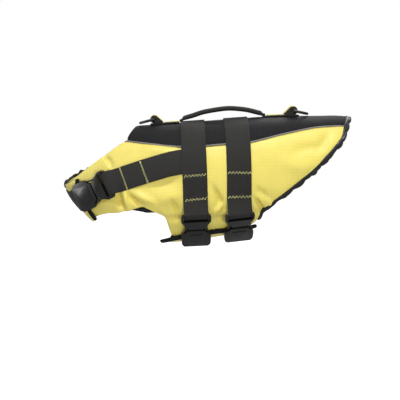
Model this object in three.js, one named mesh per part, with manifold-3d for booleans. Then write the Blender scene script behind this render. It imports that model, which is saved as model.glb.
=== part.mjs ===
// Dog life jacket in ripstop cloth, webbing and moulded buckles.
// Millimetres, +Z up, +X from neck to tail, -Y to the wearer's left.
// The origin lies inside the crown of the back panel, where the jacket rests on the back.
import * as THREE from 'three';
import { mergeVertices } from 'three/addons/utils/BufferGeometryUtils.js';
import Module from 'manifold-3d';

const wasm = await Module();
wasm.setup();

// Driving sizes
const BODY_WALL = 5;            // cloth, foam and cloth on the flanks and the back
const COLLAR_WALL = 2.6;        // the thinner collar, flaps and panel ends
const FLAP_WALL = 2.2;
const LINING_WALL = 1.2;
const SEAM_GAP = 0.3;           // between pieces sewn edge to edge
const LAY_GAP = 0.45;           // between a piece and the panel that it lies on
const EDGE_ROLL = 1.1;          // how far a panel's face sinks towards its sewn edge
const WEBBING_WIDTH = 38;
const WEBBING_THICKNESS = 1.6;
const PIPING_RADIUS = 1.4;
const PIPING_SUNK = 1.25;
const BINDING_WIDTH = 9;
const BINDING_THICKNESS = 6.4;
const BINDING_GAP = 1.25;
const TRIM_WIDTH = 5.5;         // tape folded over the free edge of a flap
const TRIM_THICKNESS = 3.2;
const CROSS_ROUNDNESS = 2.35;   // power of the rounded cross section, 2 is an ellipse
const CROWN_FRONT_X = -146;
const CROWN_REAR_X = 195;

const COLOURS = {
  yellow: 0xf0de78,
  darkCloth: 0x3b3b3d,
  lining: 0x1c1c1e,
  webbing: 0x37353a,
  piping: 0x9a958c,
  satin: 0x2a2a2c,
  tape: 0xe6d96a,
  plastic: 0x3a3a39,
  metal: 0x4c4c4e,
};

// Cross sections of the outer face, from before the neck to past the tail.
// top is the point on the spine, low the point under chest or belly.
const RINGS = [
  { topX: -156, topZ: -3.5, lowX: -274, lowZ: -82, halfWidth: 42 },
  { topX: -147, topZ: -2, lowX: -260, lowZ: -97, halfWidth: 44.5 },
  { topX: -138, topZ: -1, lowX: -251, lowZ: -117, halfWidth: 47 },
  { topX: -128, topZ: -1, lowX: -234, lowZ: -138, halfWidth: 53 },
  { topX: -118, topZ: -0.5, lowX: -213, lowZ: -160, halfWidth: 61 },
  { topX: -108, topZ: 0, lowX: -178, lowZ: -177, halfWidth: 68 },
  { topX: -96, topZ: 1, lowX: -137, lowZ: -188, halfWidth: 73 },
  { topX: -80, topZ: 2, lowX: -95, lowZ: -191, halfWidth: 75 },
  { topX: -53, topZ: 4, lowX: -40, lowZ: -185.5, halfWidth: 76 },
  { topX: 16, topZ: 9, lowX: 27, lowZ: -173, halfWidth: 75 },
  { topX: 66, topZ: 12, lowX: 75, lowZ: -158, halfWidth: 72 },
  { topX: 110, topZ: 13.5, lowX: 125, lowZ: -146, halfWidth: 68 },
  { topX: 160, topZ: 14, lowX: 170, lowZ: -138, halfWidth: 64 },
  { topX: 201, topZ: 13, lowX: 210, lowZ: -130, halfWidth: 58 },
  { topX: 216, topZ: 12, lowX: 226, lowZ: -125, halfWidth: 55 },
];

// Sections of a side panel in side view, from the chest round the collar to the tail.
// top lies on the neck edge and then the piping, low on collar, armhole, belly and rear edges.
const SIDE_SECTIONS = [
  { topX: -261, topZ: -98, lowX: -215, lowZ: -158 },
  { topX: -249, topZ: -90, lowX: -212, lowZ: -150 },
  { topX: -236, topZ: -82, lowX: -207, lowZ: -145 },
  { topX: -220, topZ: -70, lowX: -191, lowZ: -138.5 },
  { topX: -203, topZ: -57.5, lowX: -178, lowZ: -137.5 },
  { topX: -190, topZ: -48, lowX: -165, lowZ: -136 },
  { topX: -178, topZ: -39, lowX: -150, lowZ: -131.5 },
  { topX: -168, topZ: -31.5, lowX: -138, lowZ: -127 },
  { topX: -158, topZ: -24.5, lowX: -128, lowZ: -125 },
  { topX: -144, topZ: -25.8, lowX: -114, lowZ: -132 },
  { topX: -128, topZ: -27, lowX: -102, lowZ: -139.5 },
  { topX: -113, topZ: -28.5, lowX: -94, lowZ: -144.5 },
  { topX: -100, topZ: -30, lowX: -91, lowZ: -153 },
  { topX: -88, topZ: -31, lowX: -88, lowZ: -167 },
  { topX: -76, topZ: -32, lowX: -84, lowZ: -181 },
  { topX: -58, topZ: -32, lowX: -60, lowZ: -182 },
  { topX: -36, topZ: -31, lowX: -32, lowZ: -177.5 },
  { topX: -10, topZ: -28.5, lowX: -6, lowZ: -173 },
  { topX: 14, topZ: -26.5, lowX: 18, lowZ: -168.5 },
  { topX: 36, topZ: -25, lowX: 39, lowZ: -163 },
  { topX: 50, topZ: -22, lowX: 50, lowZ: -151 },
  { topX: 66, topZ: -18, lowX: 57, lowZ: -134.5 },
  { topX: 82, topZ: -14, lowX: 76, lowZ: -117 },
  { topX: 104, topZ: -9.5, lowX: 95.5, lowZ: -101 },
  { topX: 126, topZ: -5, lowX: 116, lowZ: -83.5 },
  { topX: 145, topZ: -2, lowX: 136, lowZ: -65.5 },
  { topX: 162, topZ: -1, lowX: 154, lowZ: -47.5 },
  { topX: 177, topZ: -0.5, lowX: 168.5, lowZ: -31.5 },
  { topX: 186, topZ: -1, lowX: 180, lowZ: -16 },
];
const CHEST_CENTRE_ROW = 0;
const CHEST_SEAM_ROW = 2;       // where the chest flap joins the right collar
const NECK_CORNER_ROW = 8;      // where the neck edge meets the piping
const BELLY_FRONT_ROW = 14;
const BELLY_REAR_ROW = 19;
const BINDING_START_ROW = 20;
const LAST_ROW = SIDE_SECTIONS.length - 1;

// The chest flap from the right collar seam, round the front, to its free edge on the left.
const CHEST_FLAP = [
  { side: 'right', topX: -236, topZ: -82, lowX: -207, lowZ: -145 },
  { side: 'right', topX: -250, topZ: -90.5, lowX: -212, lowZ: -150 },
  { side: 'right', topX: -260, topZ: -97, lowX: -216, lowZ: -157 },
  { side: 'left', topX: -261, topZ: -97.5, lowX: -216, lowZ: -158 },
  { side: 'left', topX: -251, topZ: -93, lowX: -213, lowZ: -155.5 },
  { side: 'left', topX: -238, topZ: -87, lowX: -209, lowZ: -151 },
];

// Free edge of the belly flap on the left, one row for each section from front to rear.
const BELLY_FLAP_EDGE = [
  { x: -101, z: -186.5 },
  { x: -82, z: -181 },
  { x: -56, z: -175.5 },
  { x: -28, z: -170.5 },
  { x: 2, z: -167 },
  { x: 26, z: -165 },
  { x: 47, z: -161.5 },
];

// Middle line of the chest strap on the left, from the front girth strap to the plug.
const CHEST_STRAP_LEFT = [
  { x: -71, z: -54.5 },
  { x: -99, z: -62 },
  { x: -128, z: -71 },
  { x: -160, z: -82 },
  { x: -186, z: -92.5 },
];
// The same line on the right, and on over the chest flap to the socket.
const CHEST_STRAP_FRONT = [
  { side: 'right', x: -71, z: -54.5 },
  { side: 'right', x: -99, z: -62 },
  { side: 'right', x: -128, z: -71 },
  { side: 'right', x: -160, z: -82.5 },
  { side: 'right', x: -190, z: -96 },
  { side: 'right', x: -220, z: -112 },
  { side: 'right', x: -243, z: -121 },
];
const CHEST_STRAP_CENTRE = { side: 'left', x: -252, z: -123 };

const CHEST_STRAP_LEAN = 4.5;   // lead of the cut end's corners over its middle

// Middle line of the grab handle over the spine.
const HANDLE_LINE = [
  { x: -86, rise: 3.5 },
  { x: -77, rise: 3.6 },
  { x: -67, rise: 6.8 },
  { x: -52, rise: 10 },
  { x: -37, rise: 14 },
  { x: -20, rise: 16 },
  { x: 3, rise: 17.4 },
  { x: 20, rise: 15.6 },
  { x: 35, rise: 12.8 },
  { x: 48, rise: 9 },
  { x: 59, rise: 5.6 },
  { x: 69, rise: 3.6 },
  { x: 79, rise: 3.5 },
];
const HANDLE_WIDTH = 15;
const HANDLE_THICKNESS = 5;
const HANDLE_FOOT_THICKNESS = 1.8;

const GIRTH_FRONT_STATION = 8;
const GIRTH_REAR_STATION = 9;
const GIRTH_DRIFT = 0.14;       // stations that a girth strap leans forward towards the belly

// Side release buckle for 38 mm webbing, lengths measured from the plug's top edge.
const BUCKLE_LENGTH = 64;
const BUCKLE_THICKNESS = 9;
const PLUG_OUTLINE = [
  { along: 0, half: 20 },
  { along: 1.4, half: 22.2 },
  { along: 4.5, half: 23.2 },
  { along: 11, half: 23.2 },
  { along: 15, half: 21.6 },
  { along: 19, half: 18.2 },
  { along: 23, half: 14.6 },
  { along: 27, half: 12.6 },
  { along: 42, half: 11.6 },
];
const SOCKET_OUTLINE = [
  { along: 30, half: 14.2 },
  { along: 33, half: 15.4 },
  { along: 37, half: 20.4 },
  { along: 41, half: 22.9 },
  { along: 48, half: 23.2 },
  { along: 57, half: 23 },
  { along: 61.5, half: 21.2 },
  { along: 64, half: 18.4 },
];
const PLUG_ARM = [
  { along: 17, inner: 13.5, outer: 19.6 },
  { along: 24, inner: 14.6, outer: 17.4 },
  { along: 33, inner: 16.6, outer: 19.4 },
  { along: 41, inner: 18, outer: 21.8 },
];

// D rings and the webbing loops that hold them
const RING_WIRE_RADIUS = 1.9;
const RING_HALF_WIDTH = 15.5;
const RING_STRAIGHT = 9;
const RING_CORNER = 4;
const LOOP_WIDTH = 21;
const LOOP_OUTER_RADIUS = 5.6;
const LOOP_INNER_RADIUS = 2.35;
const LOOP_TAB_LENGTH = 11;
const LOOP_TAB_THICKNESS = 2.4;
const RING_FRONT_X = -114;
const RING_REAR_X = 109;
const RING_TIP_GAP = 0.9;       // between a resting ring's tip and the back panel
const TAPE_WIDTH = 25;
const TAPE_TOP_WIDTH = 13;
const TAPE_TOP_THICKNESS = 1;

const LAST_STATION = RINGS.length - 1;
const HALF_TURN = Math.PI;
const { clamp, lerp, mapLinear, smoothstep, degToRad } = THREE.MathUtils;

// The outer face as a chart of station (along) and angle (round from the spine to the left)
const topLine = new THREE.CatmullRomCurve3(
  RINGS.map((ring) => new THREE.Vector3(ring.topX, ring.halfWidth, ring.topZ)), false, 'catmullrom', 0.5);
const lowLine = new THREE.CatmullRomCurve3(
  RINGS.map((ring) => new THREE.Vector3(ring.lowX, 0, ring.lowZ)), false, 'catmullrom', 0.5);

function bodyPoint(station, angle) {
  const along = clamp(station / LAST_STATION, 0, 1);
  const top = topLine.getPoint(along);
  const low = lowLine.getPoint(along);
  const cosine = Math.cos(angle);
  const sine = Math.sin(angle);
  const sum = Math.abs(cosine) ** CROSS_ROUNDNESS + Math.abs(sine) ** CROSS_ROUNDNESS;
  const reach = sum ** (-1 / CROSS_ROUNDNESS);
  return new THREE.Vector3(
    (top.x + low.x) / 2 + ((top.x - low.x) / 2) * cosine * reach,
    -top.y * sine * reach,
    (top.z + low.z) / 2 + ((top.z - low.z) / 2) * cosine * reach,
  );
}

function slopes(station, angle) {
  const step = 0.01;
  const along = bodyPoint(station + step, angle).sub(bodyPoint(station - step, angle)).divideScalar(2 * step);
  const round = bodyPoint(station, angle + step).sub(bodyPoint(station, angle - step)).divideScalar(2 * step);
  return { along, round, normal: round.clone().cross(along).normalize() };
}

function offBody(spot, offset) {
  const { normal } = slopes(spot.station, spot.angle);
  return bodyPoint(spot.station, spot.angle).addScaledVector(normal, offset);
}

// The chart spot whose side view is nearest to (x, z), on the left or mirrored to the right
function locate(x, z, side = 'left') {
  const miss = (station, angle) => {
    const point = bodyPoint(station, angle);
    return (point.x - x) ** 2 + (point.z - z) ** 2;
  };
  let best = { station: 0, angle: 0, error: Infinity };
  for (let station = 0; station <= LAST_STATION; station += 0.25) {
    for (let angle = 0; angle <= HALF_TURN; angle += HALF_TURN / 24) {
      const error = miss(station, angle);
      if (error < best.error) best = { station, angle, error };
    }
  }
  for (let reach = 0.2; reach > 1e-5; reach *= 0.6) {
    for (const [du, dv] of [[1, 0], [-1, 0], [0, 1], [0, -1], [1, 1], [-1, -1], [1, -1], [-1, 1]]) {
      const station = clamp(best.station + du * reach, 0, LAST_STATION);
      const angle = clamp(best.angle + dv * reach, 0, HALF_TURN);
      const error = miss(station, angle);
      if (error < best.error) best = { station, angle, error };
    }
  }
  return { station: best.station, angle: side === 'left' ? best.angle : 2 * HALF_TURN - best.angle };
}

// The spot of the spine at a given x
function onSpine(x) {
  let low = 0;
  let high = LAST_STATION;
  for (let i = 0; i < 40; i += 1) {
    const middle = (low + high) / 2;
    if (bodyPoint(middle, 0).x < x) low = middle;
    else high = middle;
  }
  return { station: low, angle: 0 };
}

// A smooth line through chart spots
function chartLine(spots, evenly = false) {
  const curve = new THREE.CatmullRomCurve3(
    spots.map((spot) => new THREE.Vector3(spot.station, spot.angle, 0)), false, 'centripetal');
  return (share) => {
    const place = clamp(share, 0, 1);
    const point = evenly ? curve.getPointAt(place) : curve.getPoint(place);
    return { station: point.x, angle: point.y };
  };
}

const between = (a, b, share) => ({
  station: lerp(a.station, b.station, share),
  angle: lerp(a.angle, b.angle, share),
});

// The spot that lies a distance in millimetres to the side of a line's point
function sideStep(line, share, distance) {
  const step = 0.004;
  const start = clamp(share, 0, 1 - step);
  const here = line(share);
  const heading = offBody(line(start + step), 0).sub(offBody(line(start), 0)).normalize();
  const { along, round, normal } = slopes(here.station, here.angle);
  const sideways = normal.cross(heading).normalize().multiplyScalar(distance);
  const aa = along.dot(along);
  const ar = along.dot(round);
  const rr = round.dot(round);
  const sa = sideways.dot(along);
  const sr = sideways.dot(round);
  const area = aa * rr - ar * ar;
  return {
    station: here.station + (sa * rr - sr * ar) / area,
    angle: here.angle + (sr * aa - sa * ar) / area,
  };
}

// Closed solids from points
function facingOut(positions, faces) {
  const geometry = new THREE.BufferGeometry();
  geometry.setAttribute('position', new THREE.Float32BufferAttribute(positions.flatMap((p) => p.toArray()), 3));
  let volume = 0;
  for (const [a, b, c] of faces) {
    volume += positions[a].dot(positions[b].clone().cross(positions[c]));
  }
  const turned = volume < 0 ? faces.map(([a, b, c]) => [a, c, b]) : faces;
  geometry.setIndex(turned.flat());
  return geometry;
}

function wallFrom(outer, inner) {
  const rows = outer.length;
  const columns = outer[0].length;
  const positions = [...outer.flat(), ...inner.flat()];
  const faces = [];
  const id = (layer, i, j) => (layer * rows + i) * columns + j;
  const quad = (a, b, c, d) => faces.push([a, b, c], [a, c, d]);
  for (let i = 0; i + 1 < rows; i += 1) {
    for (let j = 0; j + 1 < columns; j += 1) {
      quad(id(0, i, j), id(0, i + 1, j), id(0, i + 1, j + 1), id(0, i, j + 1));
      quad(id(1, i, j), id(1, i, j + 1), id(1, i + 1, j + 1), id(1, i + 1, j));
    }
  }
  const rim = [];
  for (let i = 0; i < rows - 1; i += 1) rim.push([i, 0]);
  for (let j = 0; j < columns - 1; j += 1) rim.push([rows - 1, j]);
  for (let i = rows - 1; i > 0; i -= 1) rim.push([i, columns - 1]);
  for (let j = columns - 1; j > 0; j -= 1) rim.push([0, j]);
  rim.forEach(([i, j], place) => {
    const [nextI, nextJ] = rim[(place + 1) % rim.length];
    quad(id(0, nextI, nextJ), id(0, i, j), id(1, i, j), id(1, nextI, nextJ));
  });
  return facingOut(positions, faces);
}

// A wall of cloth over a patch of the chart. spotAt gives the chart spot at (u, v), both 0 to 1.
function clothWall(spotAt, outerAt, innerAt, rows, columns) {
  const layer = (offsetAt) => Array.from({ length: rows + 1 }, (_, i) =>
    Array.from({ length: columns + 1 }, (__, j) => {
      const u = i / rows;
      const v = j / columns;
      return offBody(spotAt(u, v), offsetAt(u, v));
    }));
  return wallFrom(layer(outerAt), layer(innerAt));
}

// A tube through rings of points, its ends capped or joined into a loop
function tubeThrough(rings, looped = false) {
  const sides = rings[0].length;
  const positions = rings.flat();
  const faces = [];
  const spans = looped ? rings.length : rings.length - 1;
  for (let i = 0; i < spans; i += 1) {
    const next = (i + 1) % rings.length;
    for (let j = 0; j < sides; j += 1) {
      const far = (j + 1) % sides;
      faces.push([i * sides + j, next * sides + j, next * sides + far]);
      faces.push([i * sides + j, next * sides + far, i * sides + far]);
    }
  }
  const last = (rings.length - 1) * sides;
  for (let j = 1; j + 1 < sides && !looped; j += 1) {
    faces.push([0, j, j + 1]);
    faces.push([last, last + j + 1, last + j]);
  }
  return facingOut(positions, faces);
}

// A round or flat cord that lies on the body along a line, pushed to one side of it
function cordOnBody(line, { steps, sides, push, halfWidth, halfThickness, offset }) {
  const rings = [];
  for (let i = 0; i <= steps; i += 1) {
    const share = i / steps;
    const width = halfWidth(share);
    const thickness = halfThickness(share);
    const centre = sideStep(line, share, push(share, width));
    const point = offBody(centre, offset(share, thickness));
    const edge = offBody(sideStep(line, share, push(share, width) + 1), offset(share, thickness));
    const { normal } = slopes(centre.station, centre.angle);
    const across = edge.sub(point).normalize();
    rings.push(Array.from({ length: sides }, (_, j) => {
      const turn = ((j + 0.5) / sides) * 2 * HALF_TURN;
      return point.clone()
        .addScaledVector(across, Math.cos(turn) * width)
        .addScaledVector(normal, Math.sin(turn) * thickness);
    }));
  }
  return tubeThrough(rings);
}

// A webbing's frame at a point of a line on the body: middle, directions and how far its edges bend down
function webFrame(line, share, width, lift) {
  const middle = line(share);
  const { normal } = slopes(middle.station, middle.angle);
  const centre = offBody(middle, lift);
  const left = offBody(sideStep(line, share, width / 2), lift);
  const right = offBody(sideStep(line, share, -width / 2), lift);
  const across = left.clone().sub(right).normalize();
  const sag = centre.clone().sub(left.add(right).multiplyScalar(0.5)).dot(normal);
  return { centre, across, up: normal, sag };
}

function webbing(frames, width, thickness, columns) {
  const layer = (rise) => frames.map(({ centre, across, up, sag, skew = new THREE.Vector3() }) =>
    Array.from({ length: columns + 1 }, (_, j) => {
      const place = (2 * j) / columns - 1;
      return centre.clone()
        .addScaledVector(across, (place * width) / 2)
        .addScaledVector(skew, place)
        .addScaledVector(up, rise - sag * place * place);
    }));
  return wallFrom(layer(thickness), layer(0));
}

// The first frames of a webbing lean so that its cut end follows the strap that it meets
function leanStart(frames, lean, count) {
  const heading = frames[1].centre.clone().sub(frames[0].centre).normalize();
  for (let i = 0; i < count; i += 1) {
    frames[i].skew = heading.clone().multiplyScalar(lean * (1 - i / count));
  }
}

// Boolean work on closed meshes
function toSolid(geometry) {
  const bare = geometry.clone();
  bare.deleteAttribute('normal');
  bare.deleteAttribute('uv');
  const merged = mergeVertices(bare, 1e-4);
  return new wasm.Manifold(new wasm.Mesh({
    numProp: 3,
    vertProperties: new Float32Array(merged.attributes.position.array),
    triVerts: new Uint32Array(merged.index.array),
  }));
}

function toGeometry(solid) {
  const mesh = solid.getMesh();
  const geometry = new THREE.BufferGeometry();
  geometry.setAttribute('position', new THREE.BufferAttribute(new Float32Array(mesh.vertProperties), 3));
  geometry.setIndex(new THREE.BufferAttribute(new Uint32Array(mesh.triVerts), 1));
  return geometry;
}

const group = new THREE.Group();

function add(name, geometry, colour, roughness, metalness = 0) {
  const material = new THREE.MeshStandardMaterial({ color: colour, roughness, metalness });
  const mesh = new THREE.Mesh(geometry, material);
  mesh.name = name;
  group.add(mesh);
  return mesh;
}

// Panels of the side
const topSpots = SIDE_SECTIONS.map((row) => locate(row.topX, row.topZ));
const lowSpots = SIDE_SECTIONS.map((row) => locate(row.lowX, row.lowZ));
const turnTo = (spot, side) => ({
  station: spot.station,
  angle: side === 'left' ? spot.angle : 2 * HALF_TURN - spot.angle,
});
const mirrored = (spot) => ({ station: spot.station, angle: -spot.angle });

// An angle step worth a distance round the body
const roundBy = (spot, distance) => ({
  station: spot.station,
  angle: spot.angle + distance / slopes(spot.station, spot.angle).round.length(),
});

const SEAM_HALF = PIPING_RADIUS + SEAM_GAP;
const sinkAtEdge = (share, depth = EDGE_ROLL) => {
  const near = Math.min(share, 1 - share);
  return -depth * (1 - smoothstep(near, 0, 0.12));
};

function wallAtRow(row) {
  const body = smoothstep(row, NECK_CORNER_ROW - 1, NECK_CORNER_ROW + 3);
  return lerp(COLLAR_WALL, BODY_WALL, body);
}

function sidePanel(side, firstRow) {
  const rowAt = (u) => lerp(firstRow, LAST_ROW, u);
  const spotAt = (u, v) => {
    const row = rowAt(u);
    const i = Math.round(row);
    const seam = i >= NECK_CORNER_ROW ? SEAM_HALF : 0;
    const top = roundBy(topSpots[i], seam);
    return turnTo(between(top, lowSpots[i], v), side);
  };
  const outerAt = (u, v) => sinkAtEdge(v) + sinkAtEdge(u, EDGE_ROLL / 2);
  const innerAt = (u, v) => {
    const thin = smoothstep(v, 0.86, 1);
    return -lerp(wallAtRow(rowAt(u)), COLLAR_WALL, thin);
  };
  return clothWall(spotAt, outerAt, innerAt, LAST_ROW - firstRow, 10);
}

add('side_panel_left', sidePanel('left', CHEST_CENTRE_ROW), COLOURS.yellow, 0.6);
add('side_panel_right', sidePanel('right', CHEST_SEAM_ROW), COLOURS.yellow, 0.6);

// Back panel, from piping to piping over the spine
function backSpot(row, place) {
  const first = SIDE_SECTIONS[NECK_CORNER_ROW].topX;
  const last = SIDE_SECTIONS[LAST_ROW].topX;
  const edge = roundBy(topSpots[row], -SEAM_HALF);
  const crown = onSpine(mapLinear(SIDE_SECTIONS[row].topX, first, last, CROWN_FRONT_X, CROWN_REAR_X));
  return {
    station: lerp(crown.station, edge.station, place * place),
    angle: edge.angle * place,
  };
}

function backPanel() {
  const rows = LAST_ROW - NECK_CORNER_ROW;
  const spotAt = (u, v) => backSpot(NECK_CORNER_ROW + Math.round(u * rows), 2 * v - 1);
  const outerAt = (u, v) => sinkAtEdge(v) + sinkAtEdge(u, EDGE_ROLL / 2);
  const innerAt = () => -BODY_WALL;
  return clothWall(spotAt, outerAt, innerAt, rows, 12);
}
add('back_panel', backPanel(), COLOURS.darkCloth, 0.62);

// Collar linings lie inside the collar and show at the neck and at the armhole's top
function collarLining(side, firstRow) {
  const lastRow = BELLY_FRONT_ROW - 3;
  const rows = lastRow - firstRow;
  const notchRow = NECK_CORNER_ROW;
  const spotAt = (u, v) => {
    const i = firstRow + Math.round(u * rows);
    const top = roundBy(topSpots[i], i > NECK_CORNER_ROW ? 14 : 1);
    const droop = 6 * Math.exp(-(((i - notchRow) / 1.2) ** 2));
    const low = roundBy(lowSpots[i], droop - 1);
    return turnTo(between(top, low, v), side);
  };
  const depth = (u) => -wallAtRow(firstRow + u * rows) - LAY_GAP;
  return clothWall(spotAt, (u) => depth(u), (u) => depth(u) - LINING_WALL, rows, 6);
}
add('lining_left', collarLining('left', CHEST_CENTRE_ROW + 1), COLOURS.lining, 0.8);
add('lining_right', collarLining('right', CHEST_SEAM_ROW), COLOURS.lining, 0.8);

// Flaps: flush with the right side at their seam, lying on the left panel at their free edge
const flapLift = (share) => lerp(0, FLAP_WALL + LAY_GAP, smoothstep(share, 0.1, 0.5));

function chestFlap() {
  const tops = CHEST_FLAP.map((row) => locate(row.topX, row.topZ, row.side));
  const lows = CHEST_FLAP.map((row) => locate(row.lowX, row.lowZ, row.side));
  const topLineOf = chartLine(tops);
  const lowLineOf = chartLine(lows);
  const seamShare = 0.012;
  const spotAt = (u, v) => {
    const share = lerp(seamShare, 1, u);
    return between(topLineOf(share), lowLineOf(share), v);
  };
  const outerAt = (u, v) => flapLift(u) + sinkAtEdge(v, 0.6);
  const innerAt = (u) => flapLift(u) - FLAP_WALL;
  return {
    geometry: clothWall(spotAt, outerAt, innerAt, 12, 8),
    freeEdge: (share) => spotAt(1, share),
    seamAngle: spotAt(0, 0.5).angle,
    edgeAngle: spotAt(1, 0.5).angle,
  };
}
const chest = chestFlap();
add('chest_flap', chest.geometry, COLOURS.yellow, 0.6);

function bellyFlap() {
  const count = BELLY_REAR_ROW - BELLY_FRONT_ROW;
  const edgeLine = chartLine(BELLY_FLAP_EDGE.map((row) => locate(row.x, row.z)));
  const seamLine = chartLine(lowSpots.slice(BELLY_FRONT_ROW, BELLY_REAR_ROW + 1)
    .map((spot) => roundBy(turnTo(spot, 'right'), -SEAM_GAP)));
  const spotAt = (u, v) => between(seamLine(u), edgeLine(u), v);
  const outerAt = (u, v) => flapLift(v) + sinkAtEdge(u, 0.5);
  const innerAt = (u, v) => flapLift(v) - FLAP_WALL;
  return {
    geometry: clothWall(spotAt, outerAt, innerAt, 2 * count, 12),
    freeEdge: edgeLine,
  };
}
const belly = bellyFlap();
add('belly_flap', belly.geometry, COLOURS.yellow, 0.6);

// Tape bound over a flap's free edge
function flapTrim(line, steps) {
  return cordOnBody(line, {
    steps,
    sides: 8,
    push: (share, width) => width + SEAM_GAP,
    halfWidth: () => TRIM_WIDTH / 2,
    halfThickness: () => TRIM_THICKNESS / 2,
    offset: (share, thickness) => LAY_GAP + thickness,
  });
}
add('chest_flap_binding', flapTrim(chest.freeEdge, 10), COLOURS.webbing, 0.7);
add('belly_flap_binding', flapTrim(belly.freeEdge, 18), COLOURS.webbing, 0.7);

// Reflective piping in the seam between back and side
function piping(side) {
  const spots = topSpots.slice(NECK_CORNER_ROW).map((spot) => (side === 'left' ? spot : mirrored(spot)));
  return cordOnBody(chartLine(spots), {
    steps: 40,
    sides: 6,
    push: () => 0,
    halfWidth: () => PIPING_RADIUS,
    halfThickness: () => PIPING_RADIUS,
    offset: () => -PIPING_SUNK,
  });
}
add('piping_left', piping('left'), COLOURS.piping, 0.45);
add('piping_right', piping('right'), COLOURS.piping, 0.45);

// Gathered binding along the rear edge, from the left belly over the tail to the right belly
function rearBinding() {
  const leftEdge = lowSpots.slice(BINDING_START_ROW, LAST_ROW + 1);
  const tail = [1, 0.75, 0.5, 0.25, 0, -0.25, -0.5, -0.75, -1].map((place) => backSpot(LAST_ROW, place));
  const spots = [...leftEdge, ...tail, ...leftEdge.map(mirrored).reverse()];
  const gathers = 17;
  const steps = gathers * 5;
  const swell = (share) => 0.5 + 0.5 * Math.cos(share * gathers * 2 * HALF_TURN);
  return cordOnBody(chartLine(spots, true), {
    steps,
    sides: 9,
    push: (share, width) => -(width + BINDING_GAP),
    halfWidth: (share) => (BINDING_WIDTH / 2) * lerp(0.74, 1.06, swell(share)),
    halfThickness: (share) => (BINDING_THICKNESS / 2) * lerp(0.85, 1.1, swell(share)),
    offset: () => -BODY_WALL / 2,
  });
}
add('rear_binding', rearBinding(), COLOURS.satin, 0.5);

// Girth straps run from the plug over the back, down the right side and under the belly to the socket
const BUCKLE_LIFT = 3.9;        // clears the trim of the flap that it crosses
const WEB_COLUMNS = 2;

function buckleFrame(line, share, lift) {
  const middle = line(share);
  const step = 0.01;
  const along = offBody(line(share + step), 0).sub(offBody(line(share - step), 0)).normalize();
  const { normal } = slopes(middle.station, middle.angle);
  const across = along.clone().cross(normal).normalize();
  const rise = across.clone().cross(along).normalize();
  const centre = offBody(middle, lift);
  const start = centre.clone().addScaledVector(along, -BUCKLE_LENGTH / 2);
  return { start, along, across, rise };
}

// A webbing frame given in a buckle's own lengths, turned by a dive angle about its width
function frameInBuckle(buckle, alongAt, riseAt, dive = 0) {
  const { start, along, across, rise } = buckle;
  const centre = start.clone().addScaledVector(along, alongAt).addScaledVector(rise, riseAt);
  const up = rise.clone().multiplyScalar(Math.cos(dive)).addScaledVector(along, Math.sin(dive));
  return { centre, across: across.clone(), up, sag: 0 };
}

const PLUG_BAR_LENGTH = 6.5;
const PLUG_BAR_HEIGHT = 3.4;
const PLUG_SLOT_END = 12.2;
const SOCKET_SLOT_DEPTH = 3;
const SOCKET_WEB_RISE = 2.4;

// Frames from a webbing's outer end at the plug, listed from the plug's slot outwards
function plugEndFrames(buckle) {
  const lift = PLUG_BAR_HEIGHT + LAY_GAP;
  return [
    frameInBuckle(buckle, 9.6, 1.4, 1.15),
    frameInBuckle(buckle, 8, lift - 0.5, 0.6),
    frameInBuckle(buckle, 5.5, lift, 0),
    frameInBuckle(buckle, -2, lift, -0.06),
  ];
}

// Left side line of a girth: a ring of the body, from the spine down to the left belly
const girthSpot = (station, angle) => ({
  station: station - GIRTH_DRIFT * ((1 - Math.cos(angle)) / 2) ** 2,
  angle,
});
const girthLine = (station) => (share) => girthSpot(station, share * HALF_TURN);

function girth(station, buckleShare) {
  const buckle = buckleFrame(girthLine(station), buckleShare, BUCKLE_LIFT);
  const seamAngle = turnTo(lowSpots[station === GIRTH_FRONT_STATION ? 16 : 18], 'right').angle - 2 * HALF_TURN;
  const edge = BELLY_FLAP_EDGE[station === GIRTH_FRONT_STATION ? 2 : 5];
  const edgeAngle = locate(edge.x, edge.z).angle - 2 * HALF_TURN;
  const liftAt = (angle) => LAY_GAP + flapLift(clamp((seamAngle - angle) / (seamAngle - edgeAngle), 0, 1));
  const reachPerTurn = slopes(station, buckleShare * HALF_TURN).round.length();
  const half = (BUCKLE_LENGTH / 2 + 12) / reachPerTurn;
  const startAngle = buckleShare * HALF_TURN - half;
  const endAngle = buckleShare * HALF_TURN + half - 2 * HALF_TURN;
  const line = (share) => girthSpot(station, lerp(startAngle, endAngle, share));
  const steps = 46;
  const frames = [...plugEndFrames(buckle)];
  for (let i = 0; i <= steps; i += 1) {
    const share = i / steps;
    frames.push(webFrame(line, share, WEBBING_WIDTH, liftAt(line(share).angle)));
  }
  const socketEnd = BUCKLE_LENGTH - SOCKET_SLOT_DEPTH + SEAM_GAP;
  frames.push(frameInBuckle(buckle, BUCKLE_LENGTH + 3, SOCKET_WEB_RISE));
  frames.push(frameInBuckle(buckle, socketEnd, SOCKET_WEB_RISE));
  frames.forEach((frame) => {
    if (frame.across.dot(frames[6].across) < 0) frame.across.negate();
  });
  return { buckle, geometry: webbing(frames, WEBBING_WIDTH, WEBBING_THICKNESS, WEB_COLUMNS) };
}

const girthFront = girth(GIRTH_FRONT_STATION, 0.735);
const girthRear = girth(GIRTH_REAR_STATION, 0.765);
add('girth_strap_front', girthFront.geometry, COLOURS.webbing, 0.75);
add('girth_strap_rear', girthRear.geometry, COLOURS.webbing, 0.75);

// Chest strap: a left stretch to the plug, a right stretch over the chest flap to the socket
const spotsOf = (rows) => rows.map((row) => locate(row.x, row.z, row.side ?? 'left'));
const leftChestLine = chartLine(spotsOf([...CHEST_STRAP_LEFT, { x: -212, z: -107 }, { x: -234, z: -118 }]));
const chestBuckle = buckleFrame(leftChestLine, 0.79, BUCKLE_LIFT + 0.5);

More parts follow.
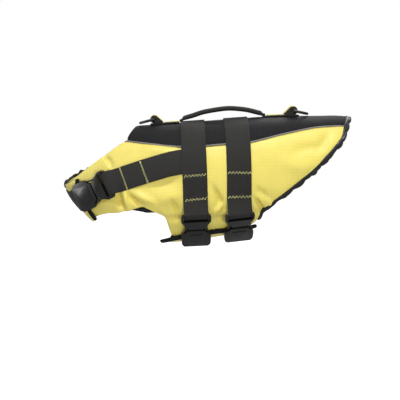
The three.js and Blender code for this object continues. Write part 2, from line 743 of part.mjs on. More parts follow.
function chestStrapLeft() {
  const frames = [];
  const steps = 12;
  const reach = 0.56;
  for (let i = 0; i <= steps; i += 1) {
    frames.push(webFrame(leftChestLine, (reach * i) / steps, WEBBING_WIDTH, LAY_GAP));
  }
  leanStart(frames, CHEST_STRAP_LEAN, 4);
  const ends = plugEndFrames(chestBuckle).reverse();
  ends.forEach((frame) => {
    if (frame.across.dot(frames[0].across) < 0) frame.across.negate();
  });
  return webbing([...frames, ...ends], WEBBING_WIDTH, WEBBING_THICKNESS, 4);
}

function chestStrapRight() {
  const beyond = frameInBuckle(chestBuckle, BUCKLE_LENGTH + 9, 0).centre;
  const line = chartLine([...spotsOf([...CHEST_STRAP_FRONT, CHEST_STRAP_CENTRE]), locate(beyond.x, beyond.z)]);
  const steps = 32;
  const liftAt = (share) => {
    const { angle } = line(share);
    const flapShare = mapLinear(angle, chest.seamAngle, chest.edgeAngle, 0, 1);
    return LAY_GAP + (FLAP_WALL + LAY_GAP) * smoothstep(flapShare, -0.1, 0.3);
  };
  const frames = [];
  for (let i = 0; i <= steps; i += 1) {
    const share = i / steps;
    frames.push(webFrame(line, share, WEBBING_WIDTH, liftAt(share)));
  }
  leanStart(frames, -CHEST_STRAP_LEAN, 4);
  frames.push(frameInBuckle(chestBuckle, BUCKLE_LENGTH + 3, SOCKET_WEB_RISE));
  frames.push(frameInBuckle(chestBuckle, BUCKLE_LENGTH - SOCKET_SLOT_DEPTH + SEAM_GAP, SOCKET_WEB_RISE));
  frames.forEach((frame, place) => {
    if (place > 0 && frame.across.dot(frames[place - 1].across) < 0) frame.across.negate();
  });
  return webbing(frames, WEBBING_WIDTH, WEBBING_THICKNESS, 4);
}
add('chest_strap_left', chestStrapLeft(), COLOURS.webbing, 0.75);
add('chest_strap_right', chestStrapRight(), COLOURS.webbing, 0.75);

// Buckles, drawn flat with x across, y along and z away from the cloth
function smoothOutline(rows, steps) {
  const side = (sign) => new THREE.SplineCurve(rows.map((row) => new THREE.Vector2(sign * row.half, row.along)))
    .getPoints(steps);
  return new THREE.Shape([...side(1), ...side(-1).reverse()]);
}

function slab(shape, low, high, bevel = 0) {
  const geometry = new THREE.ExtrudeGeometry(shape, {
    depth: high - low - 2 * bevel,
    bevelEnabled: bevel > 0,
    bevelSize: bevel,
    bevelOffset: -bevel,
    bevelThickness: bevel,
    bevelSegments: 1,
    steps: 1,
    curveSegments: 8,
  });
  geometry.translate(0, 0, low + bevel);
  return toSolid(geometry);
}

function block(width, from, to, low, high) {
  const geometry = new THREE.BoxGeometry(width, to - from, high - low);
  geometry.translate(0, (from + to) / 2, (low + high) / 2);
  return toSolid(geometry);
}

const PLUG_THICKNESS = 7;
const TONGUE_LOW = 2.6;
const TONGUE_HIGH = 5.8;
const PLUG_BODY_END = 29.4;
const MOUTH = 30;

function plugArm(sign) {
  const inner = PLUG_ARM.map((row) => new THREE.Vector2(sign * row.inner, row.along));
  const outer = PLUG_ARM.map((row) => new THREE.Vector2(sign * row.outer, row.along));
  return slab(new THREE.Shape([...inner, ...outer.reverse()]), TONGUE_LOW - 0.4, TONGUE_HIGH + 0.4);
}

function plugGeometry() {
  const bodyRows = PLUG_OUTLINE.filter((row) => row.along < PLUG_BODY_END);
  bodyRows.push({ along: PLUG_BODY_END, half: 12.4 });
  const tongueRows = PLUG_OUTLINE.filter((row) => row.along >= 27);
  const slot = 2 * (WEBBING_WIDTH / 2 + 0.5);
  const recess = block(slot, -2, PLUG_SLOT_END, PLUG_BAR_HEIGHT, PLUG_THICKNESS + 1);
  const through = block(slot, PLUG_BAR_LENGTH, PLUG_SLOT_END, -1, PLUG_THICKNESS + 1);
  return toGeometry(slab(smoothOutline(bodyRows, 16), 0, PLUG_THICKNESS, 0.8)
    .subtract(recess)
    .subtract(through)
    .add(slab(smoothOutline(tongueRows, 2), TONGUE_LOW, TONGUE_HIGH))
    .add(plugArm(1))
    .add(plugArm(-1)));
}

// Raised shield on the socket's face, broad towards the plug
const SHIELD_HEIGHT = 1.2;
const SHIELD_OUTLINE = [
  { half: 8.6, along: 37.2 },
  { half: 10.9, along: 39.4 },
  { half: 10.6, along: 45 },
  { half: 8, along: 51.5 },
  { half: 4, along: 56.5 },
  { half: 1.2, along: 58 },
];

function socketGeometry() {
  const room = 0.5;
  const mouth = block(2 * (12.6 + room), MOUTH - 2, 43, TONGUE_LOW - room, TONGUE_HIGH + room);
  const slot = block(WEBBING_WIDTH + 1, BUCKLE_LENGTH - SOCKET_SLOT_DEPTH, BUCKLE_LENGTH + 2,
    SOCKET_WEB_RISE - room, SOCKET_WEB_RISE + WEBBING_THICKNESS + room);
  const window = (sign) => {
    const inner = PLUG_ARM.filter((row) => row.along > 20)
      .map((row) => new THREE.Vector2(sign * (row.inner - room), row.along + (row.along > 35 ? 1 : 0)));
    const reach = 27;
    const outer = [new THREE.Vector2(sign * reach, 42), new THREE.Vector2(sign * reach, 24)];
    return slab(new THREE.Shape([...inner, ...outer]), TONGUE_LOW - 0.4 - room, TONGUE_HIGH + 0.4 + room);
  };
  return toGeometry(slab(smoothOutline(SOCKET_OUTLINE, 16), 0, BUCKLE_THICKNESS, 0.9)
    .subtract(mouth)
    .subtract(slot)
    .subtract(window(1))
    .subtract(window(-1))
    .add(slab(smoothOutline(SHIELD_OUTLINE, 12), BUCKLE_THICKNESS - 0.5, BUCKLE_THICKNESS + SHIELD_HEIGHT, 0.6)));
}

function placeInBuckle(mesh, buckle) {
  const basis = new THREE.Matrix4().makeBasis(buckle.across, buckle.along, buckle.rise);
  mesh.quaternion.setFromRotationMatrix(basis);
  mesh.position.copy(buckle.start);
}

const BUCKLES = [
  { name: 'belly_front', frame: girthFront.buckle },
  { name: 'belly_rear', frame: girthRear.buckle },
  { name: 'chest', frame: chestBuckle },
];
for (const { name, frame } of BUCKLES) {
  placeInBuckle(add(`buckle_${name}_plug`, plugGeometry(), COLOURS.plastic, 0.42), frame);
  placeInBuckle(add(`buckle_${name}_socket`, socketGeometry(), COLOURS.plastic, 0.42), frame);
}

// Tapes along the spine, black with a narrow yellow tape sewn on
function spineTape(fromX, toX, width, thickness, lift) {
  const count = 4;
  const spots = Array.from({ length: count + 1 }, (_, i) => onSpine(lerp(fromX, toX, i / count)));
  const line = chartLine(spots);
  const frames = spots.map((_, i) => webFrame(line, i / count, width, lift));
  return webbing(frames, width, thickness, 4);
}
const TAPE_TOP_LIFT = 2 * LAY_GAP + WEBBING_THICKNESS;
const SPINE_TAPES = [
  { end: 'front', fromX: -121, toX: -74.5, topFromX: -101.5, topToX: -87.5 },
  { end: 'rear', fromX: 61, toX: 118, topFromX: 80.5, topToX: 96.5 },
];
for (const { end, fromX, toX, topFromX, topToX } of SPINE_TAPES) {
  add(`spine_tape_${end}`, spineTape(fromX, toX, TAPE_WIDTH, WEBBING_THICKNESS, LAY_GAP), COLOURS.webbing, 0.75);
  add(`spine_tape_${end}_yellow`, spineTape(topFromX, topToX, TAPE_TOP_WIDTH, TAPE_TOP_THICKNESS, TAPE_TOP_LIFT),
    COLOURS.tape, 0.6);
}

// Webbing loops that hold the D rings by their straight bars
function loopGeometry() {
  const radius = LOOP_OUTER_RADIUS;
  const shape = new THREE.Shape();
  shape.moveTo(0, 0);
  shape.lineTo(LOOP_TAB_LENGTH, 0);
  shape.lineTo(LOOP_TAB_LENGTH, LOOP_TAB_THICKNESS);
  shape.absarc(0, radius, radius, degToRad(50), degToRad(270), false);
  const hole = new THREE.Path();
  hole.absarc(0, radius, LOOP_INNER_RADIUS, 0, 2 * HALF_TURN, true);
  shape.holes.push(hole);
  const geometry = new THREE.ExtrudeGeometry(shape, { depth: LOOP_WIDTH, bevelEnabled: false, curveSegments: 7 });
  geometry.translate(0, 0, -LOOP_WIDTH / 2);
  geometry.rotateX(HALF_TURN / 2);
  return toGeometry(toSolid(geometry));
}

// A D ring whose bar runs along y through the origin and whose round side reaches along -x
function ringGeometry() {
  const half = RING_HALF_WIDTH;
  const corner = RING_CORNER;
  const path = new THREE.Path();
  path.moveTo(0, corner - half);
  path.lineTo(0, half - corner);
  path.absarc(corner, half - corner, corner, HALF_TURN, HALF_TURN / 2, true);
  path.lineTo(RING_STRAIGHT, half);
  path.absarc(RING_STRAIGHT, 0, half, HALF_TURN / 2, -HALF_TURN / 2, true);
  path.lineTo(corner, -half);
  path.absarc(corner, corner - half, corner, -HALF_TURN / 2, -HALF_TURN, true);
  const points = path.getSpacedPoints(36).slice(0, -1);
  const sides = 8;
  const rings = points.map((point, i) => {
    const before = points[(i + points.length - 1) % points.length];
    const after = points[(i + 1) % points.length];
    const heading = after.clone().sub(before).normalize();
    const outward = new THREE.Vector2(heading.y, -heading.x);
    return Array.from({ length: sides }, (_, j) => {
      const turn = ((j + 0.5) / sides) * 2 * HALF_TURN;
      const flat = outward.clone().multiplyScalar(Math.cos(turn) * RING_WIRE_RADIUS);
      return new THREE.Vector3(-point.x - flat.x, point.y + flat.y, Math.sin(turn) * RING_WIRE_RADIUS);
    });
  });
  return tubeThrough(rings, true);
}

const LOOP_FOOT = 2 * LAY_GAP + WEBBING_THICKNESS + 0.25;
const RING_REACH = RING_STRAIGHT + RING_HALF_WIDTH;
const RINGS_AND_LOOPS = [
  { end: 'front', x: RING_FRONT_X, heading: -1 },
  { end: 'rear', x: RING_REAR_X, heading: 1 },
];
for (const { end, x, heading } of RINGS_AND_LOOPS) {
  const foot = offBody(onSpine(x), LOOP_FOOT);
  const pivot = offBody(onSpine(x), LOOP_FOOT + LOOP_OUTER_RADIUS);
  const spineAhead = offBody(onSpine(x - heading * LOOP_TAB_LENGTH), LOOP_FOOT);
  const tip = offBody(onSpine(x + heading * RING_REACH), RING_WIRE_RADIUS + RING_TIP_GAP);
  const half = heading === -1 ? 0 : HALF_TURN;
  const tabSlope = Math.atan2(spineAhead.z - foot.z, Math.abs(spineAhead.x - foot.x));
  const ringSlope = Math.atan2(pivot.z - tip.z, Math.abs(tip.x - pivot.x));
  const loop = add(`ring_loop_${end}`, loopGeometry(), COLOURS.webbing, 0.75);
  loop.position.copy(foot);
  loop.rotation.set(0, -tabSlope, half, 'ZYX');
  const ring = add(`d_ring_${end}`, ringGeometry(), COLOURS.metal, 0.3, 0.9);
  ring.position.copy(pivot);
  ring.rotation.set(0, -ringSlope, half, 'ZYX');
}

// Grab handle of folded webbing, its feet sewn to the spine tapes
function handleGeometry() {
  const crownZ = (x) => offBody(onSpine(x), 0).z;
  const curve = new THREE.CatmullRomCurve3(
    HANDLE_LINE.map((row) => new THREE.Vector3(row.x, 0, crownZ(row.x) + row.rise)), false, 'centripetal');
  const steps = 30;
  const footShare = 0.07;
  const rings = [];
  for (let i = 0; i <= steps; i += 1) {
    const share = i / steps;
    const point = curve.getPoint(share);
    const tangent = curve.getTangent(share);
    const up = new THREE.Vector3(-tangent.z, 0, tangent.x);
    const grip = smoothstep(Math.min(share, 1 - share), footShare, 3 * footShare);
    const thick = lerp(HANDLE_FOOT_THICKNESS, HANDLE_THICKNESS, grip) / 2;
    const wide = HANDLE_WIDTH / 2;
    const corner = thick * 0.6;
    const section = [
      [-wide + corner, -thick], [wide - corner, -thick], [wide, 0], [wide - corner, thick],
      [-wide + corner, thick], [-wide, 0],
    ];
    rings.push(section.map(([y, rise]) => point.clone().addScaledVector(up, rise).setY(y)));
  }
  return tubeThrough(rings);
}
add('handle', handleGeometry(), COLOURS.webbing, 0.75);

// The origin goes to the inside of the crown, where the back carries the jacket
group.position.z = -offBody(onSpine(0), -BODY_WALL).z;

export default group;
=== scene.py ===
# %% [markdown]
# # Dog life jacket
# The jacket is worn on nothing and keeps the hollow form that it has on a dog. The frame brings the
# solids that were worked out in millimetres; here each of them gets its cloth, webbing, plastic or
# metal. X runs from neck to tail, -Y is the wearer's left, Z is up, and lengths are in metres.

# %% Tools and frame
import math

import bmesh
import bpy
import numpy as np
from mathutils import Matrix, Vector
from mathutils.bvhtree import BVHTree


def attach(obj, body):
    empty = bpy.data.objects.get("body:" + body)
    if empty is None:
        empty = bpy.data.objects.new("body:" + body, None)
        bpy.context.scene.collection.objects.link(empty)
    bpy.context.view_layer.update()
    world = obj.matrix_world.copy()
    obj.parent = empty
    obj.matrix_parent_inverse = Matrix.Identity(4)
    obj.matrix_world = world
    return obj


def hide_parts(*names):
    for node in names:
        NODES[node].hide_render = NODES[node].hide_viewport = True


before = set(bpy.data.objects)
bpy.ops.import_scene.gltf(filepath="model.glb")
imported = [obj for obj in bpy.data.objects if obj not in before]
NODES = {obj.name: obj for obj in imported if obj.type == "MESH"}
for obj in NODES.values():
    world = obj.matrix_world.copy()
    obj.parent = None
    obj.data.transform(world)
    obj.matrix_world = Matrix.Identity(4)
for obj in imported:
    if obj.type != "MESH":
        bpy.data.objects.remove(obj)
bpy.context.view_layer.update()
MM = 0.001
TURN = 2 * math.pi

# %% [markdown]
# The body that the jacket is cut for is a row of upright sections. Each has a top and a low edge and a
# half width, and its outline is a rounded box between a circle and a square. Cloth is cut flat, so the
# weave needs the distance along the cloth, and not along the air: `cloth_chart` walks round each
# section and along the body to give both distances for any point.

# %% Body sections and cloth lengths
SECTION_COLUMNS = ("top_x", "top_z", "low_x", "low_z", "half_width")
SECTIONS = np.array([
    (-156, -3.5, -274, -82, 42), (-138, -1, -251, -117, 47), (-118, -0.5, -213, -160, 61),
    (-96, 1, -137, -188, 73), (-53, 4, -40, -185.5, 76), (16, 9, 27, -173, 75),
    (66, 12, 75, -158, 72), (110, 13.5, 125, -146, 68), (160, 14, 170, -138, 64),
    (216, 12, 226, -125, 55),
]) * MM
ORIGIN_DROP = 2.9 * MM
ROUNDNESS = 2.35


def section_at(x):
    """Middle height, half height and half width of the body at each x."""
    top_x, top_z, low_x, low_z, half = SECTIONS.T
    top = np.interp(x, top_x, top_z) - ORIGIN_DROP
    low = np.interp(x, low_x, low_z) - ORIGIN_DROP
    return (top + low) / 2, (top - low) / 2, np.interp(x, (top_x + low_x) / 2, half)


def cloth_chart(points, steps=24):
    """Distance along the body and distance round it from the spine, signed by side."""
    x, y, z = points.T
    middle, tall, wide = section_at(x)
    angle = np.arctan2(np.abs(y) / wide, (z - middle) / tall)
    reach = np.linspace(0, 1, steps)[:, None] * angle
    radius = (np.abs(np.sin(reach)) ** ROUNDNESS + np.abs(np.cos(reach)) ** ROUNDNESS) ** (-1 / ROUNDNESS)
    step_y = np.diff(wide * radius * np.sin(reach), axis=0)
    step_z = np.diff(tall * radius * np.cos(reach), axis=0)
    round_length = np.sqrt(step_y ** 2 + step_z ** 2).sum(axis=0) * np.where(y < 0, -1, 1)
    grid = np.linspace(-0.3, 0.24, 200)
    half = section_at(grid)[2]
    slope = np.gradient(half, grid)
    along = np.concatenate([[0], np.cumsum(np.sqrt(1 + slope[1:] ** 2) * np.diff(grid))])
    return np.interp(x, grid, along), round_length


def outward(points):
    """The direction away from the body's middle line at each point."""
    middle, tall, wide = section_at(points[:, 0])
    sideways, upright = points[:, 1] / wide ** 2, (points[:, 2] - middle) / tall ** 2
    out = np.stack([np.zeros(len(points)), sideways, upright], 1)
    return out / np.maximum(np.linalg.norm(out, axis=1), 1e-9)[:, None]


half_round = cloth_chart(np.array([[0, 1e-6, -0.2]]))[1][0]
print("cloth round the body at x = 0:", round(2 * float(half_round), 3), "m")

# %% [markdown]
# Every soft piece starts as a copy of its solid. The copy's loose triangles are welded, paired into
# four sided faces and divided, which rounds the cloth as sewing does. `place` then hands the piece
# to its body and its material.

# %% Copying a solid as cloth
def points_of(obj):
    flat = np.empty(len(obj.data.vertices) * 3)
    obj.data.vertices.foreach_get("co", flat)
    return flat.reshape(-1, 3)


def set_points(obj, points):
    obj.data.vertices.foreach_set("co", points.ravel())
    obj.data.update()


def fine_copy(node, name, levels=2):
    """A welded and divided copy of a solid, as a new object."""
    mesh = bpy.data.meshes.new(name)
    work = bmesh.new()
    work.from_mesh(NODES[node].data)
    bmesh.ops.remove_doubles(work, verts=work.verts, dist=2e-6)
    bmesh.ops.join_triangles(work, faces=work.faces, angle_face_threshold=0.6, angle_shape_threshold=0.9)
    bmesh.ops.recalc_face_normals(work, faces=work.faces)
    work.to_mesh(mesh)
    work.free()
    obj = bpy.data.objects.new(name, mesh)
    bpy.context.collection.objects.link(obj)
    if levels:
        divide(obj, levels)
    return obj


def divide(obj, levels):
    """Catmull and Clark division, made part of the mesh."""
    step = obj.modifiers.new("divide", "SUBSURF")
    step.levels = step.render_levels = levels
    step.use_limit_surface = False
    graph = bpy.context.evaluated_depsgraph_get()
    made = bpy.data.meshes.new_from_object(obj.evaluated_get(graph))
    obj.modifiers.clear()
    old = obj.data
    obj.data = made
    bpy.data.meshes.remove(old)


def chart_uv(obj, turn=0.0):
    """The piece's own UV: metres along the body and round it, turned by an angle for cloth on the bias."""
    points = points_of(obj)
    along, round_length = cloth_chart(points)
    u = along * math.cos(turn) + round_length * math.sin(turn)
    v = round_length * math.cos(turn) - along * math.sin(turn)
    layer = obj.data.uv_layers.new(name="cloth")
    loops = np.empty(len(obj.data.loops), int)
    obj.data.loops.foreach_get("vertex_index", loops)
    layer.data.foreach_set("uv", np.stack([u[loops], v[loops]], 1).ravel())


def place(obj, material, body="jacket", replaces=()):
    """Smooth shading, material and body of a finished piece, with the solids it replaces hidden."""
    obj.data.materials.clear()
    obj.data.materials.append(material)
    for face in obj.data.polygons:
        face.use_smooth = True
    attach(obj, body)
    if replaces:
        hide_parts(*replaces)
    return obj


print("copy tools ready")

# %% [markdown]
# Ripstop is a thin plain cloth with a thicker thread every few millimetres both ways, which shows as a
# fine grid. Webbing is a heavy weave whose ribs run across the tape. Both are made once as shader
# groups that read the cloth's own metres, so a grid keeps its size on every panel.

# %% Shader groups
THREAD = 0.6 * MM        # one thread of the cloth, over and under
STRAND = 1.6 * MM        # one strand of the webbing
CHEVRON = 3.2 * MM       # half a chevron of the webbing's twill


def new_group(name, inputs, outputs):
    tree = bpy.data.node_groups.new(name, "ShaderNodeTree")
    for label, kind, value in inputs:
        socket = tree.interface.new_socket(name=label, in_out="INPUT", socket_type=kind)
        if value is not None:
            socket.default_value = value
    for label, kind in outputs:
        tree.interface.new_socket(name=label, in_out="OUTPUT", socket_type=kind)
    return tree, tree.nodes.new("NodeGroupInput"), tree.nodes.new("NodeGroupOutput")


def math_node(tree, kind, first, second=None, third=None):
    """A math node whose inputs are sockets or plain numbers."""
    node = tree.nodes.new("ShaderNodeMath")
    node.operation = kind
    for place_in, value in enumerate((first, second, third)):
        if value is None:
            continue
        if isinstance(value, (int, float)):
            node.inputs[place_in].default_value = value
        else:
            tree.links.new(value, node.inputs[place_in])
    return node.outputs[0]


def split(tree, vector):
    node = tree.nodes.new("ShaderNodeSeparateXYZ")
    tree.links.new(vector, node.inputs[0])
    return node.outputs


def noise(tree, vector, scale, detail=3.0):
    node = tree.nodes.new("ShaderNodeTexNoise")
    node.inputs["Scale"].default_value = scale
    node.inputs["Detail"].default_value = detail
    if vector is not None:
        tree.links.new(vector, node.inputs["Vector"])
    return node.outputs["Fac"]


def tinted(tree, colour, factor):
    """A colour times a factor."""
    node = tree.nodes.new("ShaderNodeVectorMath")
    node.operation = "SCALE"
    tree.links.new(colour, node.inputs[0])
    tree.links.new(factor, node.inputs["Scale"])
    return node.outputs[0]


def make_ripstop():
    tree, source, end = new_group("Ripstop", [
        ("Cloth", "NodeSocketVector", None), ("Colour", "NodeSocketColor", (0.8, 0.6, 0.1, 1)),
        ("Cell", "NodeSocketFloat", 0.005), ("Line Shade", "NodeSocketFloat", 0.2),
    ], [("Colour", "NodeSocketColor"), ("Height", "NodeSocketFloat")])
    u, v, _ = split(tree, source.outputs["Cloth"])
    lines = []
    for value in (u, v):
        cell = math_node(tree, "DIVIDE", value, source.outputs["Cell"])
        near = math_node(tree, "PINGPONG", cell, 0.5)
        rise = math_node(tree, "SMOOTH_MIN", math_node(tree, "MULTIPLY", near, 7.0), 1.0, 0.2)
        lines.append(math_node(tree, "SUBTRACT", 1.0, rise))
    grid = math_node(tree, "MAXIMUM", math_node(tree, "MAXIMUM", lines[0], lines[1]), 0.0)
    threads = math_node(tree, "MULTIPLY",
                        math_node(tree, "SINE", math_node(tree, "MULTIPLY", u, TURN / THREAD)),
                        math_node(tree, "SINE", math_node(tree, "MULTIPLY", v, TURN / THREAD)))
    uneven = noise(tree, source.outputs["Cloth"], 60.0)
    shade = math_node(tree, "SUBTRACT", 1.04, math_node(tree, "MULTIPLY", grid, source.outputs["Line Shade"]))
    shade = math_node(tree, "MULTIPLY", shade, math_node(tree, "MULTIPLY_ADD", uneven, 0.12, 0.94))
    tree.links.new(tinted(tree, source.outputs["Colour"], shade), end.inputs["Colour"])
    height = math_node(tree, "MULTIPLY_ADD", threads, 0.12, grid)
    tree.links.new(height, end.inputs["Height"])
    return tree


def make_webbing():
    tree, source, end = new_group("Webbing Weave", [
        ("Cloth", "NodeSocketVector", None), ("Colour", "NodeSocketColor", (0.03, 0.03, 0.03, 1)),
        ("Rib", "NodeSocketFloat", 0.0022),
    ], [("Colour", "NodeSocketColor"), ("Height", "NodeSocketFloat")])
    across, along, _ = split(tree, source.outputs["Cloth"])
    turns = math_node(tree, "DIVIDE", TURN, source.outputs["Rib"])
    chevron = math_node(tree, "PINGPONG", across, CHEVRON)
    slanted = math_node(tree, "MULTIPLY_ADD", chevron, 0.8, along)
    rib = math_node(tree, "SINE", math_node(tree, "MULTIPLY", slanted, turns))
    strand = math_node(tree, "SINE", math_node(tree, "MULTIPLY", across, TURN / STRAND))
    height = math_node(tree, "MULTIPLY_ADD", rib, 0.35, math_node(tree, "MULTIPLY", strand, 0.25))
    uneven = noise(tree, source.outputs["Cloth"], 140.0)
    # The colour follows the weave's height: lighter on the raised ribs and darker between them, which is
    # painted shade in the weave's grooves, over a random uneven tone.
    shade = math_node(tree, "MULTIPLY_ADD", height, 0.25, math_node(tree, "MULTIPLY_ADD", uneven, 0.3, 0.85))
    tree.links.new(tinted(tree, source.outputs["Colour"], shade), end.inputs["Colour"])
    tree.links.new(height, end.inputs["Height"])
    return tree


def make_grain():
    tree, source, end = new_group("Grain", [
        ("Place", "NodeSocketVector", None), ("Colour", "NodeSocketColor", (0.03, 0.03, 0.03, 1)),
        ("Fineness", "NodeSocketFloat", 900.0), ("Smoothness", "NodeSocketFloat", 0.5),
    ], [("Colour", "NodeSocketColor"), ("Roughness", "NodeSocketFloat"), ("Height", "NodeSocketFloat")])
    fine = tree.nodes.new("ShaderNodeTexNoise")
    tree.links.new(source.outputs["Place"], fine.inputs["Vector"])
    tree.links.new(source.outputs["Fineness"], fine.inputs["Scale"])
    broad = noise(tree, source.outputs["Place"], 45.0)
    shade = math_node(tree, "MULTIPLY_ADD", broad, 0.35, 0.82)
    tree.links.new(tinted(tree, source.outputs["Colour"], shade), end.inputs["Colour"])
    base = math_node(tree, "SUBTRACT", 0.9, source.outputs["Smoothness"])
    rough = math_node(tree, "MULTIPLY_ADD", broad, 0.2, base)
    tree.links.new(rough, end.inputs["Roughness"])
    tree.links.new(fine.outputs["Fac"], end.inputs["Height"])
    return tree


GROUPS = {"ripstop": make_ripstop(), "webbing": make_webbing(), "grain": make_grain()}
print("groups", list(GROUPS))

# %% [markdown]
# A material picks its group, its colour and how rough and how deep its surface is. Cloth groups read
# the piece's own UV; plastic, metal and thread read the object's coordinates.

# %% Materials
def new_material(name, kind, colour, rough, bump, depth, settings=(), shader=()):
    """A material from one of the groups. settings are the group's inputs, shader the shader's own."""
    material = bpy.data.materials.new(name)
    material.use_nodes = True
    tree = material.node_tree
    surface = tree.nodes["Principled BSDF"]
    group = tree.nodes.new("ShaderNodeGroup")
    group.node_tree = GROUPS[kind]
    group.inputs["Colour"].default_value = (*colour, 1)
    if kind == "grain":
        where = tree.nodes.new("ShaderNodeTexCoord").outputs["Object"]
        tree.links.new(where, group.inputs["Place"])
        tree.links.new(group.outputs["Roughness"], surface.inputs["Roughness"])
        group.inputs["Smoothness"].default_value = 0.9 - rough
    else:
        cloth = tree.nodes.new("ShaderNodeUVMap")
        cloth.uv_map = "cloth"
        tree.links.new(cloth.outputs["UV"], group.inputs["Cloth"])
        surface.inputs["Roughness"].default_value = rough
    for label, value in settings:
        group.inputs[label].default_value = value
    for label, value in shader:
        surface.inputs[label].default_value = value
    relief = tree.nodes.new("ShaderNodeBump")
    relief.inputs["Strength"].default_value = bump
    relief.inputs["Distance"].default_value = depth
    tree.links.new(group.outputs["Height"], relief.inputs["Height"])
    tree.links.new(relief.outputs["Normal"], surface.inputs["Normal"])
    tree.links.new(group.outputs["Colour"], surface.inputs["Base Color"])
    return material


MATT = (("Specular IOR Level", 0.3),)
yellow = new_material("yellow ripstop", "ripstop", (0.68, 0.575, 0.12), 0.42, 0.5, 0.0003,
                      (("Line Shade", 0.065),), (("Specular IOR Level", 0.5),))
dark = new_material("dark ripstop", "ripstop", (0.008, 0.008, 0.009), 0.6, 0.5, 0.0003,
                    (("Line Shade", -0.6),), (("Specular IOR Level", 0.12),))
black_lining = new_material("black lining", "ripstop", (0.012, 0.012, 0.012), 0.6, 0.4, 0.0003,
                            (("Cell", 0.0035), ("Line Shade", 0.2)), (("Specular IOR Level", 0.2),))
webbing = new_material("black webbing", "webbing", (0.0165, 0.016, 0.014), 0.72, 0.6, 0.0004, (), MATT)
yellow_web = new_material("yellow tape", "webbing", (0.72, 0.62, 0.16), 0.7, 0.6, 0.0003)
satin = new_material("black satin", "grain", (0.008, 0.008, 0.008), 0.26, 0.2, 0.0003,
                     (("Fineness", 1400.0),), (("Specular IOR Level", 0.38),))
trim_tape = new_material("black trim tape", "grain", (0.009, 0.009, 0.009), 0.75, 0.3, 0.0002,
                         (("Fineness", 1600.0),), (("Specular IOR Level", 0.15),))
grey_piping = new_material("reflective piping", "grain", (0.17, 0.16, 0.145), 0.45, 0.3, 0.0002,
                           (("Fineness", 2500.0),), ())
plastic = new_material("moulded plastic", "grain", (0.004, 0.004, 0.0035), 0.2, 0.1, 0.0001,
                       (("Fineness", 1800.0),), (("Specular IOR Level", 0.4),))
metal = new_material("black plated metal", "grain", (0.05, 0.05, 0.05), 0.26, 0.1, 0.0001,
                     (("Fineness", 600.0),), (("Metallic", 0.85),))
yellow_thread = new_material("yellow thread", "grain", (0.88, 0.83, 0.36), 0.55, 0.3, 0.0001,
                             (("Fineness", 3000.0),))
black_thread = new_material("black thread", "grain", (0.016, 0.016, 0.016), 0.5, 0.3, 0.0001,
                            (("Fineness", 3000.0),))
print("materials", len(bpy.data.materials))

# %% [markdown]
# The two side panels are long cuts of yellow cloth over thin foam, which swells a little wherever no
# strap holds it down, and pulls into folds from the armhole and beside the straps. Each fold is a row
# of points in the side view with a width and a depth; a soft bell across it makes the trough.

# %% Folds of the side panels
FOLD_COLUMNS = ("points (x, z) in mm", "half width in mm", "height in mm")
LEFT_FOLDS = (
    (((-189, -52), (-184, -58), (-179, -67)), 5, -1.8),
    (((-168, -108), (-166, -118), (-161, -137)), 4.5, -2.2),
    (((-158, -104), (-157, -116), (-153, -134)), 5, 1.6),
    (((-153, -109), (-147, -115), (-139, -122), (-130, -128)), 4.2, -2.1),
    (((-144, -106), (-131, -113), (-114, -121)), 7, 2.0),
    (((-24, -92), (-17, -106), (-12, -118), (-15, -136)), 4.2, -2.2),
    (((-6, -124), (-13, -133), (-22, -141)), 4, 1.8),
    (((-12, -108), (-7, -122), (-4, -136)), 4.5, -1.6),
    (((42, -114), (50, -126), (60, -140)), 4.5, -2.6),
    (((-84, -118), (-78, -130), (-74, -146)), 4.5, -1.8),
    (((-176, -118), (-168, -126), (-160, -131)), 4, -2.0),
    (((47, -100), (58, -112), (72, -124)), 7, -1.8),
    (((54, -110), (66, -120), (74, -130)), 6, 1.6),
    (((-96, -147), (-60, -149), (-20, -149), (20, -146), (52, -139)), 5, -1.8),
    (((-106, -140), (-99, -152), (-91, -170)), 6, -1.8),
    (((-206, -128), (-196, -124), (-180, -125)), 6, 1.6),
    (((-118, -98), (-96, -91), (-76, -86)), 10, -1.6),
    (((-108, -118), (-90, -113), (-72, -110)), 12, 1.6),
    (((108, -42), (126, -37), (146, -34)), 9, -1.4),
    (((160, -14), (152, -26), (142, -41)), 8, -1.4),
    (((-122, -40), (-100, -42), (-78, -43)), 8, 1.2),
    (((90, -60), (112, -66), (134, -62)), 14, 1.4),
)
UNDER_STRAP = -175     # mm; forward of this the right panel is held flat by the chest strap
RIGHT_FOLDS = tuple((tuple((x + 4, z + 3) for x, z in points), width * 1.1, height * 0.9)
                    for points, width, height in LEFT_FOLDS if height < 0 or points[0][0] > UNDER_STRAP)
FOLD_STRENGTH = 3.0
FOLD_WIDTH = 0.85
PANEL_LEVELS = 3
STRAP_COLUMNS = ("middle x at z = 0, mm", "shift with height", "half width, mm")
STRAP_PLACES = ((-52.8, -0.07, 20), (12.5, -0.085, 20))


def fold_height(x, z, folds):
    """Sum of the bells across all folds, in metres, at points of the side view."""
    total = np.zeros(len(x))
    spot = np.stack([x, z], 1) / MM
    for points, width, height in folds:
        line = np.array(points, float)
        best, fade = np.full(len(x), 1e9), np.zeros(len(x))
        length = len(line) - 1
        for i in range(length):
            a, b = line[i], line[i + 1]
            share = np.clip(((spot - a) @ (b - a)) / ((b - a) @ (b - a)), 0, 1)
            gap = np.linalg.norm(spot - a - share[:, None] * (b - a), axis=1)
            near = gap < best
            best = np.where(near, gap, best)
            fade = np.where(near, np.sin(math.pi * (0.12 + 0.76 * (i + share) / length)), fade)
        total += height * fade * np.exp(-(best / (width * FOLD_WIDTH)) ** 2)
    return total * MM


def clear_of_straps(points):
    """0 under a girth strap, rising to 1 beside it."""
    free = np.ones(len(points))
    for middle, drift, half in STRAP_PLACES:
        edge = (np.abs(points[:, 0] / MM - middle - drift * points[:, 2] / MM) - half) / 9
        free *= np.clip(edge, 0, 1) ** 2 * (3 - 2 * np.clip(edge, 0, 1))
    return free


